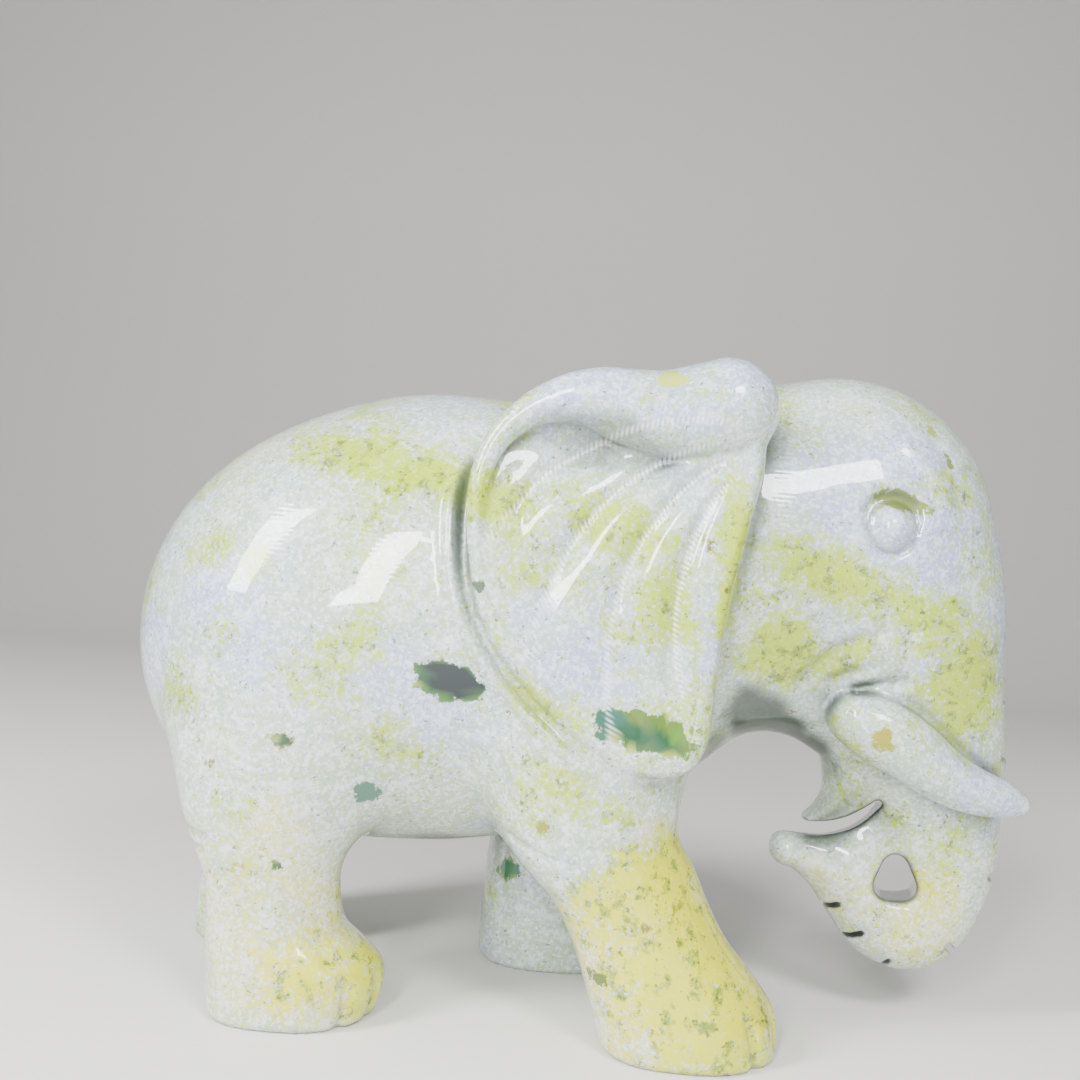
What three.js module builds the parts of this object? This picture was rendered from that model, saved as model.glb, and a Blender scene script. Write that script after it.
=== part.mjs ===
// Jade elephant carving, one solid of carved stone.
// It faces +X and stands on its four soles at Z = 0. Its right side is -Y.
// The form is one signed distance field, drawn in shares of its own length: 275 shares from end to end.
import * as THREE from 'three';

// Driving dimension, millimetres
const length = 275; // rump to the front of the trunk

// Sampling of the form: grid cell and box in shares, and the triangles that are kept
const cell = 1.7;
const faceBudget = 9400;
const drawnBox = { low: [-141, -66, -3], high: [143, 66, 205] };

// Stone
const jade = { color: 0xcbd0c3, roughness: 0.15, metalness: 0 };

// Trunk and back of the body, as ellipsoids: centre and half sizes
const torso = [
  { at: [-79.6, 0, 106], half: [56.5, 52, 59.5] },
  { at: [-44, 0, 114], half: [76.8, 57, 69.6] },
  { at: [-4, 0, 118], half: [52, 56, 62.2] },
  { at: [43, 0, 137.6], half: [43, 43, 53.4] },
  { at: [25.5, 0, 96.5], half: [19.5, 32, 24] },
];
const torsoBlend = 16;
const haunch = { at: [-82, 30, 94], half: [34, 23, 50] };
const shoulder = { at: [3, 32, 96], half: [31, 25, 50] };
const limbBlend = 9;

// Head and trunk as one sweep: x, z, half height in profile, half width
const headLine = [
  [77.6, 149.3, 49.3, 41],
  [91, 129.8, 41.4, 36],
  [99.6, 112, 34.1, 30],
  [107.2, 95, 28.6, 25],
  [112.2, 80, 25, 21.5],
  [115.4, 66, 21.8, 18.5],
  [118.3, 52, 18.5, 16.5],
  [116.9, 40.5, 17.1, 15.5],
  [112, 32, 16.8, 14.5],
  [104, 31.2, 14.8, 13.5],
  [95.5, 37.5, 12.1, 12],
  [88.5, 43.4, 10.1, 10.5],
  [82, 47.2, 8.3, 9],
  [76, 49.4, 6.5, 7.6],
  [71.4, 49.8, 5.7, 7],
];
const headBlend = 12;

// Throat and lower jaw, swept the same way
const jawLine = [
  [64, 106.4, 16.8, 28],
  [79, 100.5, 18.3, 25],
  [87.4, 92, 14.6, 21],
  [90.6, 83, 11.2, 17],
  [90, 74, 9.2, 14.5],
  [86.8, 67, 5.9, 11.5],
  [82, 62.4, 3.3, 8.5],
  [77.2, 59.7, 1.3, 6.5],
];
const jawBlend = 6;

// Slot between the jaw and the trunk, cut right through a little aslant: x, z, half width
const slotLine = [
  [64, 57.4, 2.2],
  [75, 56.6, 1.9],
  [82, 56.7, 2],
  [89, 58.8, 2],
  [94.2, 62.1, 1.7],
  [98, 65.8, 1.2],
];
const slotBlend = 1.5;
const slotSlant = [0.2, -0.16]; // along x and z for each share across

// Hole through the curl of the trunk: three round corners, drilled a little aslant
const hole = {
  corners: [[102.6, 40.7], [109.5, 40.9], [105.5, 47.9]],
  radius: 3.1,
  blend: 5,
  bevel: 3,
  slant: [0.26, -0.12],
};
const web = { at: [104, 0, 48], half: [24, 12.5, 24] };
const webBlend = 3;

// Cuts across the front and the underside of the trunk: x, z, depth from the outline, half width
const notches = [
  [133.4, 124, 3, 0.9],
  [134.8, 103, 3, 0.9],
  [136, 85, 3, 0.9],
  [136.4, 46.5, 4, 0.9],
  [124.4, 22.5, 5, 0.9],
  [103, 16, 3, 0.9],
  [92, 25.2, 5, 0.9],
  [84.6, 33.4, 4, 0.9],
];
const notchBlend = 1;

// Legs: stations from the sole up, z, x, y, half length, half width
const nearFront = [
  [-6, 40.2, 38.6, 25, 22.8],
  [5, 37.9, 38.5, 26.1, 22.6],
  [12, 36.2, 38, 26.6, 21.8],
  [20, 32.1, 37.5, 25.3, 20.5],
  [30, 25.5, 37, 23, 19.2],
  [40, 19.4, 36.4, 22.9, 19.4],
  [50, 12, 35.5, 25.4, 20.5],
  [62, 6, 34.5, 25.4, 22],
  [85, 3, 33, 27.6, 22],
];
const farFront = [
  [-6, 1.8, 33, 26.1, 23.6],
  [12, 1.8, 33, 26.1, 23.2],
  [25, 0.9, 33.5, 24.9, 21],
  [45, 1.2, 34, 24.2, 19.5],
  [62, 2.8, 34, 25, 21],
  [85, 4, 33, 28, 22],
];
const nearRear = [
  [-6, -76, 34.2, 22, 21.2],
  [8, -74.4, 34.2, 25, 21],
  [15, -75, 34.2, 24.9, 20.6],
  [20, -78, 33.8, 22.6, 20],
  [26, -81.4, 33.5, 19.5, 19],
  [38, -83.2, 33.5, 19, 18.8],
  [50, -85, 33, 22.5, 20],
  [62, -84.8, 32, 26.8, 21.5],
  [85, -82.6, 30, 32, 22],
];
const farRear = [
  [-6, -97, 33, 23.4, 20.5],
  [15, -97, 33, 23.4, 20.5],
  [26, -97.5, 33, 21, 19],
  [45, -94, 33, 21.5, 19],
  [62, -89, 32, 27, 21.5],
  [85, -83, 30, 32, 22],
];
const legPower = { front: 1.95, back: 2.9 };
const soleRounding = 3;
const soleFlat = 0.3; // points lower than this lie in the sole
const legTop = 88;
const legTopBlend = 12;
const legBlend = 9;

// Toes: three on each foot, between grooves at these angles from the front
const toes = { angles: [-42, -14, 14, 42], depth: 1.7, width: 1.8, top: 15 };

// Ears: outline of the plate seen from the side, x and z, anticlockwise from the front corner
const earOutline = [
  [46, 172], [46, 180], [42, 186], [33, 188], [21, 186], [8, 185], [-6, 184.5], [-17, 179.5],
  [-26.5, 170.5], [-32.5, 158], [-33.5, 143], [-30.5, 125], [-23, 110.5], [-11, 97.5], [1, 87.5],
  [12, 80.5], [24, 78], [32.5, 81.5], [36, 91], [36.8, 107], [39, 128], [42.5, 148], [45.5, 162],
];
const ear = { face: 58.5, lean: 4.5, leanFrom: 135, leanTo: 178, inner: 26, edge: 4.5, back: 6, blend: 3 };
const hollow = { at: [-5, 166], half: [24, 9], depth: 5 };

// Roll along the top of the ear and the rim behind it: x, z, radius, distance from the middle plane
const rollLine = [
  [35, 180.8, 14.4, 46.8],
  [20, 177.5, 13, 48.7],
  [9, 178.5, 10.9, 50.3],
  [-1, 180.2, 8.8, 51.9],
  [-11, 179.1, 6.5, 53.4],
  [-20, 175, 4.6, 54.6],
  [-27.6, 167.2, 3.6, 55.6],
  [-31.6, 157, 3, 56.6],
  [-32.3, 145, 2.6, 57],
  [-30.6, 132, 2.3, 57.2],
  [-27, 120, 1.8, 57.2],
];
const rollBlend = 1.6;

// Flutes of the ear: curved grooves that fan out from a pole behind the temple
const flutes = {
  pole: [48.5, 172],
  first: 159,
  spacing: 18.4,
  count: 4,
  curl: 0.53,
  depth: 2.4,
  border: 9,
  start: 12,
};

// Ridge of the body along the back of the ear
const ridge = { gap: 2.2, gapDepth: 1.2, crest: 6.5, height: 1.4, half: 2, top: 166, front: 14 };

// Tusk: x, z, radius, distance from the middle plane
const tuskLine = [
  [83, 95.5, 8.5, 27],
  [90, 92.4, 10, 27.5],
  [98.5, 87.8, 9.6, 27.5],
  [108, 81.7, 8.5, 26.5],
  [118, 77, 7.3, 25],
  [127.6, 74.6, 5.8, 23.5],
  [133.8, 73.1, 3.8, 22.5],
];
const tuskBlend = 2.5;

// Folds of the cheek, the lip and the back of the near hind leg: points in profile, depth, half width
const folds = [
  { line: [[64.5, 106], [74, 115.5], [87, 121.5]], depth: 1.2, half: 2.6 },
  { line: [[74.5, 106.5], [86, 111]], depth: 0.8, half: 2 },
  { line: [[82, 103.5], [89, 106.5], [96, 107]], depth: 1.2, half: 2 },
  { line: [[94.5, 122], [94.8, 109]], depth: 0.9, half: 3 },
  { line: [[-112, 52.5], [-100, 51.2]], depth: 1.2, half: 1 },
  { line: [[-111, 48], [-101, 47.2]], depth: 1.2, half: 1 },
];

// Eye in its socket
const eye = { at: [85.6, 36.4, 151.6], ball: 6.3, blend: 0.8, groove: 7.2, half: 1.5, sunk: 1.5 };

// Tail, in relief down the rump: y, z of its line, radius
const tailLine = [[4, 150, 2.4], [6, 138, 3.8], [9, 118, 3.8], [12, 98, 3.4], [14, 84, 5], [14, 74, 3]];
const tailBlend = 3;
const tailProud = 1.8;

// Boxes outside of which a form is too far off to count
const earZone = { low: [-45, 70], high: [60, 204], inner: 20, far: 30 };
const ridgeZone = { low: [-48, 78], high: [22, 170], inner: 28 };
const headZone = { rear: 15, web: 80 };
const mouthZone = { rear: 60, top: 72 };
const eyeZone = { rear: 60, front: 110, low: 130, inner: 25 };
const foldInner = 12;
const notchRear = 75;
const tailZone = { low: [-8, 60], high: [24, 170], front: -80 };

const { abs, atan2, exp, hypot, max, min, sqrt } = Math;

function blendMin(a, b, k) {
  const h = max(k - abs(a - b), 0) / k;
  return min(a, b) - (h * h * k) / 4;
}

function blendMax(a, b, k) {
  return -blendMin(-a, -b, k);
}

// Catmull-Rom through rows of numbers, sampled evenly between each pair
function smoothRows(rows, perSpan) {
  const out = [];
  for (let i = 0; i < rows.length - 1; i += 1) {
    const before = rows[max(i - 1, 0)];
    const from = rows[i];
    const to = rows[i + 1];
    const after = rows[min(i + 2, rows.length - 1)];
    for (let j = 0; j < perSpan; j += 1) {
      const t = j / perSpan;
      out.push(from.map((value, n) => catmull(before[n], value, to[n], after[n], t)));
    }
  }
  out.push(rows[rows.length - 1]);
  return out;
}

function catmull(a, b, c, d, t) {
  const slopeB = (c - a) / 2;
  const slopeC = (d - b) / 2;
  const t2 = t * t;
  const t3 = t2 * t;
  return b * (2 * t3 - 3 * t2 + 1) + slopeB * (t3 - 2 * t2 + t) + c * (3 * t2 - 2 * t3) + slopeC * (t3 - t2);
}

function ellipsoid(x, y, z, { at, half }) {
  const a = (x - at[0]) / half[0];
  const b = (y - at[1]) / half[1];
  const c = (z - at[2]) / half[2];
  const n = hypot(a, b, c);
  const slope = hypot(a / half[0], b / half[1], c / half[2]);
  return slope > 0 ? (n * (n - 1)) / slope : -min(...half);
}

function outsideBox(x, z, { low, high }) {
  return x < low[0] || x > high[0] || z < low[1] || z > high[1];
}

// Sweep of ellipses with their own half height in profile and half width across
function sweep(samples, x, y, z) {
  let best = Infinity;
  for (const [cx, cz, high, wide] of samples) {
    const n = sqrt(((x - cx) ** 2 + (z - cz) ** 2) / (high * high) + (y * y) / (wide * wide));
    best = min(best, (n - 1) * min(high, wide));
  }
  return best;
}

// Sweep of balls, each at its own distance from the middle plane
function beads(samples, x, side, z) {
  let best = Infinity;
  for (const [cx, cz, radius, out] of samples) {
    best = min(best, hypot(x - cx, side - out, z - cz) - radius);
  }
  return best;
}

function segmentDistance(x, z, [ax, az], [bx, bz]) {
  const dx = bx - ax;
  const dz = bz - az;
  const t = min(max(((x - ax) * dx + (z - az) * dz) / (dx * dx + dz * dz), 0), 1);
  return hypot(x - ax - t * dx, z - az - t * dz);
}

// Signed distance to a closed outline in profile, negative inside
function outlineDistance(points, x, z) {
  let best = Infinity;
  let inside = false;
  for (let i = 0, j = points.length - 1; i < points.length; j = i, i += 1) {
    const [ax, az] = points[i];
    const [bx, bz] = points[j];
    best = min(best, segmentDistance(x, z, points[i], points[j]));
    if (az > z !== bz > z && x < ((bx - ax) * (z - az)) / (bz - az) + ax) {
      inside = !inside;
    }
  }
  return inside ? -best : best;
}

const headSamples = smoothRows(headLine, 7);
const jawSamples = smoothRows(jawLine, 6);
const slotSamples = smoothRows(slotLine, 8);
const rollSamples = smoothRows(rollLine, 6);
const tuskSamples = smoothRows(tuskLine, 6);
const tailSamples = smoothRows(tailLine, 6);
const closedOutline = [earOutline[earOutline.length - 1], ...earOutline, earOutline[0], earOutline[1]];
const earSamples = smoothRows(closedOutline, 5).slice(5, -6);

// Map of a profile function on a grid of one share, read back between its points
function profileMap(low, high, value) {
  const wide = high[0] - low[0] + 1;
  const tall = high[1] - low[1] + 1;
  const grid = new Float64Array(wide * tall);
  for (let j = 0; j < tall; j += 1) {
    for (let i = 0; i < wide; i += 1) {
      grid[j * wide + i] = value(low[0] + i, low[1] + j);
    }
  }
  return (x, z) => {
    const u = min(max(x - low[0], 0), wide - 1.001);
    const v = min(max(z - low[1], 0), tall - 1.001);
    const i = Math.floor(u);
    const j = Math.floor(v);
    const s = u - i;
    const t = v - j;
    const n = j * wide + i;
    const below = grid[n] * (1 - s) + grid[n + 1] * s;
    const above = grid[n + wide] * (1 - s) + grid[n + wide + 1] * s;
    return below * (1 - t) + above * t;
  };
}

const earLow = [-50, 62];
const earHigh = [64, 210];
const earEdge = profileMap(earLow, earHigh, (x, z) => outlineDistance(earSamples, x, z));
const earFace = profileMap(earLow, earHigh, earFaceHeight);

// Distance of the ear's face from the middle plane
function earFaceHeight(x, z) {
  const inward = -outlineDistance(earSamples, x, z);
  const dishX = (x - hollow.at[0]) / hollow.half[0];
  const dishZ = (z - hollow.at[1]) / hollow.half[1];
  const dish = exp(-(dishX ** 2) - dishZ ** 2);
  const [px, pz] = flutes.pole;
  const reach = hypot(x - px, z - pz);
  const turn = (atan2(z - pz, x - px) * 180) / Math.PI;
  const fan = (turn < 0 ? turn + 360 : turn) - flutes.curl * reach;
  const place = (fan - flutes.first) / flutes.spacing;
  const nearest = min(max(Math.round(place), 0), flutes.count - 1);
  const across = min(abs(place - nearest), 0.5) * 2;
  const cut = flutes.depth * (1 - across) ** 2;
  const fade = min(max((inward - flutes.border) / 5, 0), 1) * min(max(reach / flutes.start - 1, 0), 1);
  const tilt = min(max((z - ear.leanFrom) / (ear.leanTo - ear.leanFrom), 0), 1);
  const lean = ear.lean * tilt * tilt * (3 - 2 * tilt);
  return ear.face - lean - hollow.depth * dish - cut * fade;
}

function earForm(x, side, z) {
  if (side < earZone.inner || outsideBox(x, z, earZone)) {
    return earZone.far;
  }
  const edge = earEdge(x, z);
  let d = blendMax(edge, side - earFace(x, z), ear.edge);
  d = blendMax(d, ear.inner - side, ear.back);
  return blendMin(d, beads(rollSamples, x, side, z), rollBlend);
}

function torsoForm(x, y, z) {
  const side = abs(y);
  let d = ellipsoid(x, y, z, torso[0]);
  for (const form of torso.slice(1)) {
    d = blendMin(d, ellipsoid(x, y, z, form), torsoBlend);
  }
  d = blendMin(d, ellipsoid(x, side, z, haunch), limbBlend);
  d = blendMin(d, ellipsoid(x, side, z, shoulder), limbBlend);
  if (side > ridgeZone.inner && !outsideBox(x, z, ridgeZone)) {
    const edge = earEdge(x, z);
    const gap = ridge.gapDepth * exp(-(((edge - ridge.gap) / ridge.half) ** 2));
    const crest = ridge.height * exp(-(((edge - ridge.crest) / ridge.half) ** 2));
    d += (gap - crest) * min(max((ridge.top - z) / 20, 0), 1) * min(max((ridge.front - x) / 10, 0), 1);
  }
  return d;
}

const legTable = { rows: 400, low: -8, high: 92 };

// Sizes of a leg at even heights: x, y, half length, half width
function legSamples(stations) {
  const rows = smoothRows(stations, 24);
  const table = [];
  let n = 0;
  for (let i = 0; i <= legTable.rows; i += 1) {
    const z = legTable.low + ((legTable.high - legTable.low) * i) / legTable.rows;
    while (n < rows.length - 2 && rows[n + 1][0] < z) {
      n += 1;
    }
    const t = min(max((z - rows[n][0]) / (rows[n + 1][0] - rows[n][0]), 0), 1);
    table.push(rows[n].map((value, k) => value + (rows[n + 1][k] - value) * t));
  }
  return table.map(([, ...sizes]) => sizes);
}

const legs = [
  { side: -1, samples: legSamples(nearFront) },
  { side: 1, samples: legSamples(farFront) },
  { side: -1, samples: legSamples(nearRear) },
  { side: 1, samples: legSamples(farRear) },
];

function legForm(x, y, z, { side, samples }) {
  const row = ((z - legTable.low) / (legTable.high - legTable.low)) * legTable.rows;
  const [cx, cy, long, wide] = samples[min(max(Math.round(row), 0), legTable.rows)];
  const a = (x - cx) / long;
  const b = (y - side * cy) / wide;
  const power = a > 0 ? legPower.front : legPower.back;
  const n = (abs(a) ** power + abs(b) ** power) ** (1 / power);
  let d = (n - 1) * min(long, wide);
  if (z < toes.top + 6 && x > cx && abs(d) < 4) {
    const angle = (atan2(y - side * cy, x - cx) * 180) / Math.PI;
    const reach = hypot(x - cx, y - side * cy);
    const fade = min(max((toes.top - z) / 4, 0), 1);
    for (const at of toes.angles) {
      const off = ((angle - at) * Math.PI * reach) / 180;
      d += toes.depth * fade * exp(-((off / toes.width) ** 2));
    }
  }
  d = blendMax(d, -z, soleRounding);
  return blendMax(d, z - legTop, legTopBlend);
}

function form(x, y, z) {
  const side = abs(y);
  let d = torsoForm(x, y, z);
  if (z < legTop + legBlend + 4) {
    for (const leg of legs) {
      d = blendMin(d, legForm(x, y, z, leg), legBlend);
    }
  }
  if (x > headZone.rear) {
    let head = sweep(headSamples, x, y, z);
    if (z < headZone.web) {
      head = blendMin(head, ellipsoid(x, y, z, web), webBlend);
    }
    head = blendMin(head, sweep(jawSamples, x, y, z), jawBlend);
    d = blendMin(d, head, headBlend);
    d = blendMin(d, beads(tuskSamples, x, side, z), tuskBlend);
  }
  if (x > mouthZone.rear && z < mouthZone.top) {
    let slot = Infinity;
    for (const [cx, cz, radius] of slotSamples) {
      slot = min(slot, hypot(x - slotSlant[0] * y - cx, z - slotSlant[1] * y - cz) - radius);
    }
    d = blendMax(d, -slot, slotBlend);
    let gap = Infinity;
    const u = x - hole.slant[0] * y;
    const v = z - hole.slant[1] * y;
    for (const [cx, cz] of hole.corners) {
      gap = blendMin(gap, hypot(u - cx, v - cz) - hole.radius, hole.blend);
    }
    d = blendMax(d, -gap, hole.bevel);
  }
  d = blendMin(d, earForm(x, side, z), ear.blend);
  if (x > eyeZone.rear && x < eyeZone.front && side > eyeZone.inner && z > eyeZone.low) {
    const [ex, ey, ez] = eye.at;
    const reach = hypot(x - ex, z - ez);
    d += eye.sunk * exp(-(((reach - eye.groove) / eye.half) ** 2));
    d = blendMin(d, hypot(x - ex, side - ey, z - ez) - eye.ball, eye.blend);
  }
  if (side > foldInner) {
    for (const { line, depth, half } of folds) {
      let deepest = 0;
      for (let i = 0; i < line.length - 1; i += 1) {
        const off = segmentDistance(x, z, line[i], line[i + 1]);
        if (off < half * 3) {
          deepest = max(deepest, depth * exp(-((off / half) ** 2)));
        }
      }
      d += deepest;
    }
  }
  if (x > notchRear) {
    for (const { mouth, tip, width } of notchCuts) {
      d = blendMax(d, width - segmentDistance(x, z, mouth, tip), notchBlend);
    }
  }
  if (x < tailZone.front && !outsideBox(y, z, tailZone)) {
    d = blendMin(d, tailForm(x, y, z), tailBlend);
  }
  return d;
}

// Each notch runs from outside the outline towards the nearest centre of the sweep
const notchCuts = notches.map(([x, z, deep, width]) => {
  const outside = 3;
  const centre = headCentre(x, z);
  const size = hypot(centre[0] - x, centre[1] - z);
  const [ux, uz] = [(centre[0] - x) / size, (centre[1] - z) / size];
  return { mouth: [x - ux * outside, z - uz * outside], tip: [x + ux * deep, z + uz * deep], width };
});

// Nearest centre of the head and trunk sweep to a point in profile
function headCentre(x, z) {
  let best = headSamples[0];
  let least = Infinity;
  for (const sample of headSamples) {
    const off = hypot(x - sample[0], z - sample[1]) - sample[2];
    if (off < least) {
      least = off;
      best = sample;
    }
  }
  return best;
}

// The tail lies on the rump: its depth follows the torso
function tailForm(x, y, z) {
  let best = Infinity;
  for (const [cy, cz, radius] of tailSamples) {
    best = min(best, hypot(y - cy, z - cz) - radius);
  }
  const skin = torsoForm(x, y, z);
  return hypot(max(best + tailProud, 0), skin) - tailProud;
}

// Sample the form on a grid, coarse blocks first, so that only cells near the surface are worked out
function sampleForm() {
  const size = drawnBox.low.map((low, n) => Math.ceil((drawnBox.high[n] - low) / cell) + 1);
  const [nx, ny, nz] = size;
  const values = new Float32Array(nx * ny * nz);
  const block = 4;
  const reach = cell * block * 0.5 * sqrt(3) * 1.5;
  for (let bz = 0; bz < nz; bz += block) {
    for (let by = 0; by < ny; by += block) {
      for (let bx = 0; bx < nx; bx += block) {
        const middle = form(
          drawnBox.low[0] + (bx + block / 2 - 0.5) * cell,
          drawnBox.low[1] + (by + block / 2 - 0.5) * cell,
          drawnBox.low[2] + (bz + block / 2 - 0.5) * cell,
        );
        const skip = abs(middle) > reach;
        for (let k = bz; k < min(bz + block, nz); k += 1) {
          for (let j = by; j < min(by + block, ny); j += 1) {
            for (let i = bx; i < min(bx + block, nx); i += 1) {
              const x = drawnBox.low[0] + i * cell;
              const y = drawnBox.low[1] + j * cell;
              const z = drawnBox.low[2] + k * cell;
              values[(k * ny + j) * nx + i] = skip ? middle : form(x, y, z);
            }
          }
        }
      }
    }
  }
  return { values, size };
}

// Lift samples until no cell or cell face holds more than one sheet of the surface
function mend({ values, size }) {
  const [nx, ny, nz] = size;
  const step = [1, nx, nx * ny];
  const squares = [[0, 1], [1, 2], [0, 2]];
  const outside = 0.05;
  for (let changed = true; changed;) {
    changed = false;
    for (let k = 0; k < nz - 1; k += 1) {
      for (let j = 0; j < ny - 1; j += 1) {
        for (let i = 0; i < nx - 1; i += 1) {
          const n = k * step[2] + j * nx + i;
          const inside = insideCount(values, n, step);
          if (inside < 2 || inside > 6) {
            continue;
          }
          for (const [a, b] of squares) {
            const corners = [n, n + step[a], n + step[a] + step[b], n + step[b]];
            const [p, q, r, t] = corners.map((corner) => values[corner] < 0);
            if (p === r && q === t && p !== q) {
              const within = p ? [corners[0], corners[2]] : [corners[1], corners[3]];
              values[values[within[0]] > values[within[1]] ? within[0] : within[1]] = outside;
              changed = true;
            }
          }
          const far = n + 1 + nx + step[2];
          const opposite = [[n, far], [n + 1, far - 1], [n + nx, far - nx], [n + step[2], far - step[2]]];
          for (const [a, b] of opposite) {
            if (values[a] < 0 && values[b] < 0 && insideCount(values, n, step) === 2) {
              values[values[a] > values[b] ? a : b] = outside;
              changed = true;
            }
            if (values[a] >= 0 && values[b] >= 0 && insideCount(values, n, step) === 6) {
              values[values[a] < values[b] ? a : b] = -outside;
              changed = true;
            }
          }
        }
      }
    }
  }
}

// Corners of a cell that lie inside the stone
function insideCount(values, n, [, nx, layer]) {
  let count = 0;
  for (const at of [n, n + nx, n + layer, n + layer + nx]) {
    count += (values[at] < 0 ? 1 : 0) + (values[at + 1] < 0 ? 1 : 0);
  }
  return count;
}

// Closed surface of the samples: one point in each cell that it crosses, one quad on each crossed edge
function surface({ values, size }) {
  const [nx, ny, nz] = size;
  const step = [1, nx, nx * ny];
  const cellPoint = new Int32Array(values.length).fill(-1);
  const places = [];
  const faces = [];
  const edges = [];
  for (let axis = 0; axis < 3; axis += 1) {
    const [b, c] = [(axis + 1) % 3, (axis + 2) % 3];
    for (const offset of [[0, 0], [1, 0], [0, 1], [1, 1]]) {
      const from = [0, 0, 0];
      from[b] = offset[0];
      from[c] = offset[1];
      edges.push({ axis, from, start: from[0] + from[1] * nx + from[2] * step[2] });
    }
  }
  for (let k = 0; k < nz - 1; k += 1) {
    for (let j = 0; j < ny - 1; j += 1) {
      for (let i = 0; i < nx - 1; i += 1) {
        const n = k * step[2] + j * nx + i;
        let count = 0;
        const sum = [0, 0, 0];
        for (const { axis, from, start } of edges) {
          const low = values[n + start];
          const high = values[n + start + step[axis]];
          if (low < 0 !== high < 0) {
            count += 1;
            sum[0] += from[0];
            sum[1] += from[1];
            sum[2] += from[2];
            sum[axis] += low / (low - high);
          }
        }
        if (count > 0) {
          cellPoint[n] = places.length;
          places.push([i, j, k].map((at, axis) => drawnBox.low[axis] + (at + sum[axis] / count) * cell));
        }
      }
    }
  }
  for (let k = 1; k < nz - 1; k += 1) {
    for (let j = 1; j < ny - 1; j += 1) {
      for (let i = 1; i < nx - 1; i += 1) {
        const n = k * step[2] + j * nx + i;
        for (let axis = 0; axis < 3; axis += 1) {
          const inside = values[n] < 0;
          if (inside !== values[n + step[axis]] < 0) {
            const b = step[(axis + 1) % 3];
            const c = step[(axis + 2) % 3];
            const ring = [n, n - b, n - b - c, n - c].map((at) => cellPoint[at]);
            const quad = inside ? ring : ring.reverse();
            faces.push([quad[0], quad[1], quad[2]], [quad[0], quad[2], quad[3]]);
          }
        }
      }
    }
  }
  return { places, faces };
}

// Move each point along the slope of the form on to its surface
function settle(places) {
  const probe = 0.3;
  const furthest = cell * 0.6;
  return places.map(([x, y, z]) => {
    const d = form(x, y, z);
    const slope = [form(x + probe, y, z) - d, form(x, y + probe, z) - d, form(x, y, z + probe) - d]
      .map((value) => value / probe);
    const square = max(slope[0] ** 2 + slope[1] ** 2 + slope[2] ** 2, 0.3);
    const move = min(max(-d / square, -furthest), furthest);
    return [x + slope[0] * move, y + slope[1] * move, z + slope[2] * move];
  });
}

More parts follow.
